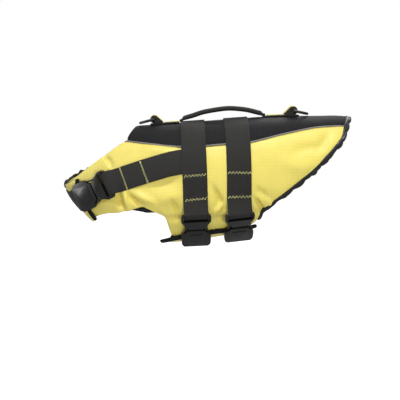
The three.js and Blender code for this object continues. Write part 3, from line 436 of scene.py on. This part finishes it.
def fill_rim(obj, amount):
    """Lets the edges of a panel swell against the piping or the binding in its seam."""
    points = points_of(obj)
    normals = np.array([v.normal for v in obj.data.vertices])
    edge = 1 - np.abs((normals * outward(points)).sum(axis=1))
    set_points(obj, points + normals * (edge * amount)[:, None])


def press_folds(obj, folds):
    points = points_of(obj)
    free = clear_of_straps(points)
    rise = fold_height(points[:, 0], points[:, 2], folds)
    rise = np.where(rise > 0, rise * free, rise * (0.35 + 0.65 * free))
    set_points(obj, points + outward(points) * rise[:, None] * FOLD_STRENGTH)


def line_inside(obj):
    """Black lining on the faces that look at the wearer."""
    obj.data.materials.append(black_lining)
    middles = np.array([f.center for f in obj.data.polygons])
    normals = np.array([f.normal for f in obj.data.polygons])
    inside = (normals * outward(middles)).sum(axis=1) < -0.3
    obj.data.polygons.foreach_set("material_index", inside.astype(np.int32))


def dress_side(node, name, folds):
    panel = fine_copy(node, name, PANEL_LEVELS)
    fill_rim(panel, 1.8 * MM)
    press_folds(panel, folds)
    chart_uv(panel)
    place(panel, yellow, replaces=[node])
    line_inside(panel)
    return panel


left_side = dress_side("side_panel_left", "side_panel_left_cloth", LEFT_FOLDS)
right_side = dress_side("side_panel_right", "side_panel_right_cloth", RIGHT_FOLDS)
print("side panel faces", len(left_side.data.polygons), len(right_side.data.polygons))

# %% [markdown]
# The back panel, the two flaps and the linings are plain cuts. The lining of the far collar isn't held
# by a strap, so it bunches, and low uneven waves are pushed into it.

# %% Back panel, flaps and linings
def dress(node, name, material, levels=2, rim=0.0, lined=False):
    piece = fine_copy(node, name, levels)
    if rim:
        fill_rim(piece, rim)
    chart_uv(piece)
    place(piece, material, replaces=[node])
    if lined:
        line_inside(piece)
    return piece


def waves(obj, height, length, seed, keep=None, inwards=0):
    """Uneven soft waves over a piece; inwards=1 keeps them all on the wearer's side."""
    points = points_of(obj)
    rng = np.random.default_rng(seed)
    total = np.zeros(len(points))
    for _ in range(7):
        direction = rng.normal(size=3)
        direction /= np.linalg.norm(direction)
        total += np.sin(points @ direction * TURN / (length * rng.uniform(0.7, 1.5)) + rng.uniform(0, TURN))
    rise = height * (np.clip(total / 3, -1, 1) - inwards)
    if keep is not None:
        rise = rise * keep(points)
    set_points(obj, points + outward(points) * rise[:, None])


back = dress("back_panel", "back_panel_cloth", dark, rim=1.8 * MM, lined=True)
waves(back, 0.5 * MM, 60 * MM, 4, lambda p: clear_of_straps(p))
chest_flap = dress("chest_flap", "chest_flap_cloth", yellow, rim=1.5 * MM, lined=True)
belly_flap = dress("belly_flap", "belly_flap_cloth", yellow, rim=1.5 * MM, lined=True)
linings = {side: dress(f"lining_{side}", f"lining_{side}_cloth", black_lining)
           for side in ("left", "right")}
for side, lining in linings.items():
    press_folds(lining, LEFT_FOLDS if side == "left" else RIGHT_FOLDS)
    waves(lining, (0.4 if side == "left" else 1.2) * MM, 22 * MM, 7, inwards=1)

print("flap faces", len(chest_flap.data.polygons), len(belly_flap.data.polygons))

# %% [markdown]
# The linings hang a few millimetres below the yellow edge at the top of each armhole. Over the chest
# flap the slack of the far lining is turned out and bunches into a lumpy roll: its line follows the
# flap's top edge, and its width is a sum of a few waves along and round it.

# %% Slack of the linings
def hang_below(obj, middle, reach, drop):
    """Lets the lower edge of a lining show under the yellow edge, most at one x."""
    points = points_of(obj)
    under = np.clip((-112 * MM - points[:, 2]) / (20 * MM), 0, 1)
    points[:, 2] -= under * np.exp(-((points[:, 0] - middle) / reach) ** 2) * drop
    set_points(obj, points)


def soft_roll(name, line, radius, seed, rings=110, sides=16):
    """A slack roll of cloth along a line, with lumps where it bunches, closed at both ends."""
    rng = np.random.default_rng(seed)
    line = np.array(line, float) * MM
    lengths = np.concatenate([[0], np.cumsum(np.linalg.norm(np.diff(line, axis=0), axis=1))])
    places = np.linspace(0, lengths[-1], rings)
    middle = np.stack([np.interp(places, lengths, line[:, k]) for k in range(3)], 1)
    for _ in range(30):
        middle[1:-1] = (middle[:-2] + middle[1:-1] * 2 + middle[2:]) / 4
    ahead = np.gradient(middle, axis=0)
    ahead /= np.linalg.norm(ahead, axis=1)[:, None]
    side = np.cross(ahead, (0, 0, 1))
    side /= np.linalg.norm(side, axis=1)[:, None]
    up = np.cross(side, ahead)
    share = np.linspace(-1, 1, rings)
    taper = np.sqrt(np.clip(1 - share ** 6, 0.02, 1))
    turns = np.arange(sides) * TURN / sides
    waves_on = np.zeros((rings, sides))
    for _ in range(5):
        pitch, twist = rng.uniform(13, 26) * MM, rng.integers(-1, 2)
        waves_on += np.sin(places[:, None] * TURN / pitch + twist * turns + rng.uniform(0, TURN)) / 5
    width = radius * MM * taper[:, None] * (1 + 0.6 * waves_on)
    shell = middle[:, None] + width[..., None] * (
        np.cos(turns)[None, :, None] * side[:, None] * 0.7 + np.sin(turns)[None, :, None] * up[:, None])
    spots = [tuple(p) for p in shell.reshape(-1, 3)] + [tuple(middle[0]), tuple(middle[-1])]
    faces = [(r + k, r + (k + 1) % sides, r + sides + (k + 1) % sides, r + sides + k)
             for r in range(0, (rings - 1) * sides, sides) for k in range(sides)]
    last = (rings - 1) * sides
    faces += [(rings * sides, (k + 1) % sides, k) for k in range(sides)]
    faces += [(rings * sides + 1, last + k, last + (k + 1) % sides) for k in range(sides)]
    mesh = bpy.data.meshes.new(name)
    mesh.from_pydata(spots, [], faces)
    work = bmesh.new()
    work.from_mesh(mesh)
    bmesh.ops.recalc_face_normals(work, faces=work.faces)
    work.to_mesh(mesh)
    work.free()
    roll = bpy.data.objects.new(name, mesh)
    bpy.context.collection.objects.link(roll)
    chart_uv(roll)
    return place(roll, black_lining)


for lining in linings.values():
    hang_below(lining, -130 * MM, 19 * MM, 6.5 * MM)
COLLAR_TOP = ((-225, 38, -79), (-235, 35, -86), (-247, 27, -92), (-255, 18, -97), (-260, 2, -101),
              (-258, -12, -101))
collar_roll = soft_roll("collar_lining_roll", COLLAR_TOP, 6.4, 5)
print("roll faces", len(collar_roll.data.polygons))

# %% [markdown]
# Piping is a cord in a strip of grey cloth that shines back at a lamp; it fills the seam between the
# back and the sides. The rear hem is bound with satin over elastic, so the satin gathers: short
# crosswise folds ride on the longer swells that the solid already has.

# %% Piping, flap trims and gathered rear binding
for side in ("left", "right"):
    dress(f"piping_{side}", f"piping_{side}_cord", grey_piping, 1)
TRIM_SWELL = {"chest_flap": 1.3, "belly_flap": 2.2}      # mm past the solid
for flap, wider in TRIM_SWELL.items():
    trim = dress(f"{flap}_binding", f"{flap}_tape", trim_tape, 1)
    points = points_of(trim)
    normals = np.array([v.normal for v in trim.data.vertices])
    out = outward(points)
    flat = normals - out * (normals * out).sum(axis=1)[:, None]
    set_points(trim, points + (flat + normals * (0, 0, 0.6)) * wider * MM)

BINDING_LINE = np.array([
    (56, -47.7, -150.6), (61, -55.8, -136.4), (74, -59.1, -126.4), (88, -61.7, -115.6), (101, -63.5, -104),
    (115, -64, -94), (127, -64.3, -82), (141, -63.7, -71), (153, -62.5, -59), (165, -60.3, -46),
    (177, -56.4, -33.8), (186, -48.5, -17.4), (192, -36.7, -3.8), (197.6, -21.3, 4.7), (199.5, 0, 7.6),
]) * MM
BINDING_LINE = np.concatenate([BINDING_LINE, (BINDING_LINE * (1, -1, 1))[-2::-1]])


def along_line(points, line):
    """Distance along a line of the nearest place on it, and the vector from there, for each point."""
    best = np.full(len(points), 1e9)
    place_on, away = np.zeros(len(points)), np.zeros((len(points), 3))
    done = 0.0
    for a, b in zip(line[:-1], line[1:]):
        length = np.linalg.norm(b - a)
        share = np.clip((points - a) @ (b - a) / length ** 2, 0, 1)
        gap = points - a - share[:, None] * (b - a)
        size = np.linalg.norm(gap, axis=1)
        near = size < best
        best = np.where(near, size, best)
        place_on = np.where(near, done + share * length, place_on)
        away = np.where(near[:, None], gap, away)
        done += length
    return place_on, away


def towards_neck(points, line):
    """The direction across a bound edge, into the cloth, and the distance along the edge."""
    place_on, away = along_line(points, line)
    lengths = np.concatenate([[0], np.cumsum(np.linalg.norm(np.diff(line, axis=0), axis=1))])
    ahead = np.gradient(line, lengths, axis=0)
    tangent = np.stack([np.interp(place_on, lengths, ahead[:, k]) for k in range(3)], 1)
    inward = np.cross(tangent, outward(points))
    size = np.maximum(np.linalg.norm(inward, axis=1), 1e-6)
    inward *= (np.where(inward[:, 0] > 0, -1, 1) / size)[:, None]
    return inward, place_on, away


def gather(obj, line, pitch, depth, seed):
    """Crosswise folds, uneven in width and depth, on the free side of a bound edge."""
    points = points_of(obj)
    inward, place_on, away = towards_neck(points, line)
    rng = np.random.default_rng(seed)
    knots = np.cumsum(rng.uniform(0.6, 1.5, 400)) * pitch
    depths = rng.uniform(0.35, 1.1, 400)
    index = np.clip(np.searchsorted(knots, place_on), 1, 399)
    share = (place_on - knots[index - 1]) / (knots[index] - knots[index - 1])
    fold = np.sin(math.pi * np.clip(share, 0, 1)) ** 0.6 * depths[index]
    away /= np.maximum(np.linalg.norm(away, axis=1), 1e-6)[:, None]
    free = np.clip(0.45 - (away * inward).sum(axis=1), 0, 1)
    loose = np.interp(points[:, 2], (-120 * MM, -50 * MM), (0.4, 1))
    set_points(obj, points + away * (fold * free * loose * depth)[:, None])


def draw_in(obj, line, amount):
    """Moves a bound edge over the cloth that it wraps: across its line, towards the neck."""
    points = points_of(obj)
    set_points(obj, points + towards_neck(points, line)[0] * amount)


binding = fine_copy("rear_binding", "rear_binding_satin", 3)
draw_in(binding, BINDING_LINE, 2.6 * MM)
gather(binding, BINDING_LINE, 17 * MM, 2.5 * MM, 11)
chart_uv(binding)
place(binding, satin, replaces=["rear_binding"])
print("binding faces", len(binding.data.polygons))

# %% [markdown]
# Webbing keeps a flat face and thick rounded edges. Its copy isn't divided, which would melt the edges:
# they are bevelled, and only they are shaded sharp where they turn.

# %% Webbing and tapes
def crisp_copy(node, name, material, body="jacket", edge=0.35 * MM, limit=50):
    """A welded copy whose sharp edges are bevelled."""
    piece = fine_copy(node, name, 0)
    work = bmesh.new()
    work.from_mesh(piece.data)
    sharp = [e for e in work.edges if len(e.link_faces) == 2 and e.calc_face_angle(0) > math.radians(limit)]
    bmesh.ops.bevel(work, geom=sharp, offset=edge, offset_type="OFFSET", affect="EDGES", segments=2,
                    profile=0.5, material=-1, clamp_overlap=True)
    work.to_mesh(piece.data)
    work.free()
    chart_uv(piece)
    place(piece, material, body, [node])
    piece.data.set_sharp_from_angle(angle=math.radians(40))
    return piece


STRAP_NODES = ("girth_strap_front", "girth_strap_rear", "chest_strap_left", "chest_strap_right")
straps = {node: crisp_copy(node, f"{node}_webbing", webbing) for node in STRAP_NODES}
TUCK = 5 * MM
for node in ("chest_strap_left", "chest_strap_right"):
    points = points_of(straps[node])
    end = np.clip((points[:, 0] + 84 * MM) / (12 * MM), 0, 1) * (np.abs(points[:, 1]) > 40 * MM)
    points[:, 0] += end * TUCK
    points -= outward(points) * (end * 0.9 * MM)[:, None]
    set_points(straps[node], points)
print("webbing straps", len(straps))

# %% [markdown]
# Along the spine lie two short tapes with a narrow yellow tape, which goes on over a webbing loop. Each
# loop holds a ring. Between them is the handle, webbing folded in half, whose feet are sewn down short.

# %% Spine tapes, loops, handle and rings
LOOP_COLUMNS = ("size against the solid", "ring's axis x, mm", "ring's axis z, mm")
LOOP_GROWTH = {"front": (1.15, -114.4, 5.1), "rear": (1.28, 108.8, 18.9)}


def grow_loop(piece, end):
    """Webbing puffs up where it turns round the ring, away from the ring's axis."""
    growth, x, z = LOOP_GROWTH[end]
    axis = np.array((x, 0, z)) * MM
    points = points_of(piece)
    set_points(piece, axis * (1, 0, 1) + (points - axis) * (growth, 1, growth))


def shift_along(piece, before, after, slope):
    """Moves places along the spine from one row of x values (mm) to another, up the slope of the back."""
    points = points_of(piece)
    moved = np.interp(points[:, 0], np.array(before) * MM, np.array(after) * MM)
    points[:, 2] += (moved - points[:, 0]) * slope
    points[:, 0] = moved
    set_points(piece, points)


TAPE_REACH = {"front": ((-104, -86), (-104, -71), 0.06), "rear": ((79, 98), (65, 98), 0.033)}
HANDLE_FEET = ((-87, -68, 58, 83), (-74, -68, 58, 65), 0.05)
for end in ("front", "rear"):
    crisp_copy(f"spine_tape_{end}", f"spine_tape_{end}_webbing", webbing)
    band = crisp_copy(f"spine_tape_{end}_yellow", f"spine_tape_{end}_band", yellow_web,
                      edge=0.25 * MM)
    shift_along(band, *TAPE_REACH[end])
    grow_loop(crisp_copy(f"ring_loop_{end}", f"ring_loop_{end}_webbing", webbing), end)
for end in ("front", "rear"):
    band = fine_copy(f"ring_loop_{end}", f"ring_loop_{end}_band", 1)
    points = points_of(band)
    normals = np.array([v.normal for v in band.data.vertices])
    points[:, 1] *= 0.55
    set_points(band, points + normals * (1, 0, 1) * 0.7 * MM)
    grow_loop(band, end)
    chart_uv(band)
    place(band, yellow_web)
handle = fine_copy("handle", "handle_webbing", 2)
fatten = np.array([v.normal for v in handle.data.vertices])
set_points(handle, points_of(handle) + fatten * 1.5 * MM)
shift_along(handle, *HANDLE_FEET)
chart_uv(handle)
place(handle, webbing, replaces=["handle"])
for end, body in (("front", "front_ring"), ("rear", "rear_ring")):
    ring = fine_copy(f"d_ring_{end}", f"d_ring_{end}_metal", 1)
    fatten = np.array([v.normal for v in ring.data.vertices])
    set_points(ring, points_of(ring) + fatten * 0.35 * MM)
    place(ring, metal, body, [f"d_ring_{end}"])
print("handle faces", len(handle.data.polygons), "ring faces", len(ring.data.polygons))

# %% [markdown]
# A side release buckle is two mouldings: the plug with its sprung arms and the socket that they click
# into. Mouldings have small radii on every edge.

# %% Buckles
BUCKLE_NODES = [f"buckle_{place_on}_{half}" for place_on in ("belly_front", "belly_rear", "chest")
                for half in ("plug", "socket")]
for node in BUCKLE_NODES:
    crisp_copy(node, f"{node}_moulding", plastic, edge=0.6 * MM, limit=35)

# %% [markdown]
# Sewing is thread on the cloth, so each row is a thin cord that is dropped onto the webbing from the
# side. Yellow zigzags cross the girth straps and yellow bars the chest strap; black boxes with a cross
# hold the layers between the zigzags.

# %% Sewing
def skin_of(*objects):
    """A search tree over the outer faces of some pieces."""
    points, faces = [], []
    for obj in objects:
        start = len(points)
        points += [v.co.copy() for v in obj.data.vertices]
        faces += [[start + i for i in f.vertices] for f in obj.data.polygons]
    return BVHTree.FromPolygons(points, faces)


def dropped(tree, spots, side=-1, lift=0.0002):
    """Points of the side view (x, z) in mm, dropped onto a skin from the left or right."""
    landed = []
    for x, z in spots:
        hit, normal, _, _ = tree.ray_cast(Vector((x * MM, side * 0.3, z * MM)), Vector((0, -side, 0)))
        if hit is not None:
            landed.append(hit + normal * lift)
    return landed


def zigzag(a, b, pitch, width):
    """A zigzag row between two points of the side view."""
    a, b = np.array(a, float), np.array(b, float)
    length = np.linalg.norm(b - a)
    ahead = (b - a) / length
    across = np.array((-ahead[1], ahead[0])) * width / 2
    count = max(2, round(length / pitch * 2))
    return [tuple(a + ahead * length * i / count + across * (1 if i % 2 else -1)) for i in range(count + 1)]


def straight(a, b, count=14):
    return [tuple(np.array(a) + (np.array(b) - np.array(a)) * i / count) for i in range(count + 1)]


def sew(name, rows, thickness, material):
    """One piece of thread rows, each a cord through its points."""
    curve = bpy.data.curves.new(name, "CURVE")
    curve.dimensions = "3D"
    curve.bevel_depth = thickness / 2
    curve.bevel_resolution = 1
    curve.use_fill_caps = True
    for row in rows:
        if len(row) < 2:
            continue
        spline = curve.splines.new("POLY")
        spline.points.add(len(row) - 1)
        for point, spot in zip(spline.points, row):
            point.co = (*spot, 1)
    holder = bpy.data.objects.new(name + "_line", curve)
    bpy.context.collection.objects.link(holder)
    graph = bpy.context.evaluated_depsgraph_get()
    mesh = bpy.data.meshes.new_from_object(holder.evaluated_get(graph))
    bpy.data.objects.remove(holder)
    bpy.data.curves.remove(curve)
    piece = bpy.data.objects.new(name, mesh)
    bpy.context.collection.objects.link(piece)
    return place(piece, material)


STRAP_ROWS = {
    "girth_strap_front": (((-65.0, -80.1), (-29.7, -77.1)), ((-63.2, -117.3), (-26.2, -113.8))),
    "girth_strap_rear": (((2.3, -74.2), (38.2, -74.8)), ((2.6, -112.5), (38.6, -111.7))),
}
CHEST_BARS = (((-133.8, -57.9), (-121.4, -89.6)), ((-166.1, -68.3), (-153.4, -101.4)))
ZIGZAG = (5.0, 3.7)         # pitch and width of a row, mm
BAR_TACK = (1.1, 2.4)
yellow_rows, black_rows = [], []
for side in (-1, 1):
    for node, rows in STRAP_ROWS.items():
        skin = skin_of(straps[node])
        for a, b in rows:
            yellow_rows.append(dropped(skin, zigzag(a, b, *ZIGZAG), side))
        (a, b), (c, d) = rows
        inset = 4
        corners = [(a[0] + inset, a[1] - inset), (b[0] - inset, b[1] - inset), (d[0] - inset, d[1] + inset),
                   (c[0] + inset, c[1] + inset)]
        for i, j in ((0, 1), (1, 2), (2, 3), (3, 0), (0, 2), (1, 3)):
            black_rows.append(dropped(skin, straight(corners[i], corners[j]), side))
chest_skins = {-1: skin_of(straps["chest_strap_left"]), 1: skin_of(straps["chest_strap_right"])}
for side, skin in chest_skins.items():
    for a, b in CHEST_BARS:
        yellow_rows.append(dropped(skin, zigzag(a, b, *BAR_TACK), side))
sew("yellow_stitches", yellow_rows, 0.75 * MM, yellow_thread)
sew("black_stitches", black_rows, 0.7 * MM, black_thread)
print("rows", len(yellow_rows), len(black_rows), "shortest", min(map(len, yellow_rows + black_rows)))

# %% [markdown]
# The jacket hangs above a pale floor as the wearer would hold it. A large soft lamp stands high on the
# near side, a weaker one low in front of it, and one behind, in a white room that is a little darker
# below. Plastic also mirrors a narrow lamp in front of the chest, which draws the edge of its shield.

# %% Stand and light
def soft_light(name, where, size, power):
    light = bpy.data.lights.new(name, "AREA")
    light.shape = "DISK"
    light.size = size
    light.energy = power
    lamp = bpy.data.objects.new(name, light)
    bpy.context.collection.objects.link(lamp)
    lamp.location = where
    lamp.rotation_euler = (Vector((-0.03, 0, -0.1)) - Vector(where)).to_track_quat("-Z", "Y").to_euler()
    return lamp


FLOOR_Z = -0.95
LOW_LIGHT, HIGH_LIGHT = 0.57, 0.66
mesh = bpy.data.meshes.new("floor")
work = bmesh.new()
bmesh.ops.create_grid(work, x_segments=1, y_segments=1, size=6)
work.to_mesh(mesh)
work.free()
floor = bpy.data.objects.new("floor", mesh)
bpy.context.collection.objects.link(floor)
floor.location.z = FLOOR_Z
floor_look = bpy.data.materials.new("pale floor")
floor_look.use_nodes = True
floor_look.node_tree.nodes["Principled BSDF"].inputs["Base Color"].default_value = (0.95, 0.95, 0.95, 1)
floor_look.node_tree.nodes["Principled BSDF"].inputs["Roughness"].default_value = 0.9
floor_look.node_tree.nodes["Principled BSDF"].inputs["Emission Color"].default_value = (1, 1, 1, 1)
floor_look.node_tree.nodes["Principled BSDF"].inputs["Emission Strength"].default_value = 0.6
mesh.materials.append(floor_look)
floor.visible_diffuse = False
floor.visible_glossy = False

world = bpy.data.worlds.new("studio")
world.use_nodes = True
sky = world.node_tree
height = split(sky, sky.nodes.new("ShaderNodeTexCoord").outputs["Generated"])[2]
ramp = sky.nodes.new("ShaderNodeMapRange")
for label, value in (("From Min", -0.5), ("From Max", 0.9), ("To Min", LOW_LIGHT), ("To Max", HIGH_LIGHT)):
    ramp.inputs[label].default_value = value
sky.links.new(height, ramp.inputs["Value"])
seen = sky.nodes.new("ShaderNodeLightPath").outputs["Is Camera Ray"]
strength = math_node(sky, "MAXIMUM", ramp.outputs["Result"], seen)
sky.links.new(strength, sky.nodes["Background"].inputs["Strength"])
sky.nodes["Background"].inputs["Color"].default_value = (1, 1, 1, 1)
bpy.context.scene.world = world
bpy.context.scene.view_settings.view_transform = "Standard"
soft_light("key", (-0.1, -0.8, 1.4), 0.4, 17)
soft_light("back", (0.3, 1.1, 1.1), 0.8, 8)
fill = soft_light("fill", (0.25, -1.4, -0.1), 0.4, 8)
fill.visible_glossy = False
glint = soft_light("glint", (-1.4, -0.45, 0.0), 0.35, 4.5)
glint.visible_diffuse = False

# %% [markdown]
# The camera stands level with the wearer's left side and looks down a little. Its distance was found
# from how much larger the near side of the straps looks than their far side.

# %% Camera
TARGET = Vector((-41, 0, -127.5)) * MM
DISTANCE = 1178 * MM
ELEVATION = math.radians(8)
camera_data = bpy.data.cameras.new("camera")
camera_data.lens = 64.25
camera_data.sensor_width = 36
camera = bpy.data.objects.new("camera", camera_data)
bpy.context.collection.objects.link(camera)
camera.location = TARGET + DISTANCE * Vector((0, -math.cos(ELEVATION), math.sin(ELEVATION)))
camera.rotation_euler = (TARGET - camera.location).to_track_quat("-Z", "Y").to_euler()
bpy.context.scene.camera = camera
print("camera at", tuple(round(v, 3) for v in camera.location))

# %% [markdown]
# The cut of each cloth piece that shows is its size laid flat before sewing. On panels the width goes
# round the body and the length along it; a tape folded over an edge counts the width of one side.

# %% Cuts of the cloth pieces
def cloth_size(obj):
    """Width round the body, length along it and half of the surface, from the piece as it is."""
    along, round_length = cloth_chart(points_of(obj))
    surface = sum(f.area for f in obj.data.polygons)
    return tuple(round(float(v), 4) for v in (np.ptp(round_length), np.ptp(along), surface / 2))


CUT_COLUMNS = ("piece", "width", "length", "area where not a rectangle", "held", "what it rests on")
CUTS = (
    ("side_panel_left_cloth", 0.215, 0.465, 0.055, "stretched", ("back_panel", "girth_strap_front")),
    ("side_panel_right_cloth", 0.215, 0.445, 0.052, "stretched", ("back_panel", "girth_strap_front")),
    ("back_panel_cloth", 0.158, 0.360, 0.048, "stretched", ("girth_strap_front", "girth_strap_rear")),
    ("chest_flap_cloth", 0.130, 0.072, 0.0075, "stretched", ("side_panel_right",)),
    ("belly_flap_cloth", 0.100, 0.155, 0.0130, "stretched", ("side_panel_right",)),
    ("lining_left_cloth", 0.142, 0.160, 0.0125, "gathered", ("side_panel_left",)),
    ("lining_right_cloth", 0.142, 0.152, 0.0125, "gathered", ("side_panel_right",)),
    ("collar_lining_roll", 0.019, 0.078, None, "gathered", ("chest_flap",)),
    ("rear_binding_satin", 0.013, 0.560, None, "gathered", ("side_panel_left", "back_panel")),
    ("chest_flap_tape", 0.010, 0.078, None, "folded", ("chest_flap",)),
    ("belly_flap_tape", 0.013, 0.165, None, "folded", ("belly_flap",)),
    ("piping_left_cord", 0.010, 0.352, 0.0014, "folded", ("side_panel_left",)),
    ("piping_right_cord", 0.010, 0.352, 0.0014, "folded", ("side_panel_right",)),
    ("girth_strap_front_webbing", 0.038, 0.555, None, "stretched", ("back_panel",)),
    ("girth_strap_rear_webbing", 0.038, 0.545, None, "stretched", ("back_panel",)),
    ("chest_strap_left_webbing", 0.038, 0.140, None, "stretched", ("side_panel_left",)),
    ("chest_strap_right_webbing", 0.038, 0.290, None, "stretched", ("side_panel_right",)),
    ("spine_tape_front_webbing", 0.025, 0.050, None, "laid", ("back_panel",)),
    ("spine_tape_rear_webbing", 0.025, 0.060, None, "laid", ("back_panel",)),
    ("spine_tape_front_band", 0.013, 0.032, None, "laid", ("spine_tape_front",)),
    ("spine_tape_rear_band", 0.013, 0.033, None, "laid", ("spine_tape_rear",)),
    ("ring_loop_front_webbing", 0.021, 0.036, None, "folded", ("spine_tape_front",)),
    ("ring_loop_rear_webbing", 0.021, 0.036, None, "folded", ("spine_tape_rear",)),
    ("ring_loop_front_band", 0.012, 0.040, None, "folded", ("spine_tape_front",)),
    ("ring_loop_rear_band", 0.012, 0.040, None, "folded", ("spine_tape_rear",)),
    ("handle_webbing", 0.019, 0.150, None, "hung", ("back_panel",)),
)
for name, width, length, area, held, rests_on in CUTS:
    print(name, "cut", (width, length), "made", cloth_size(bpy.data.objects[name]))
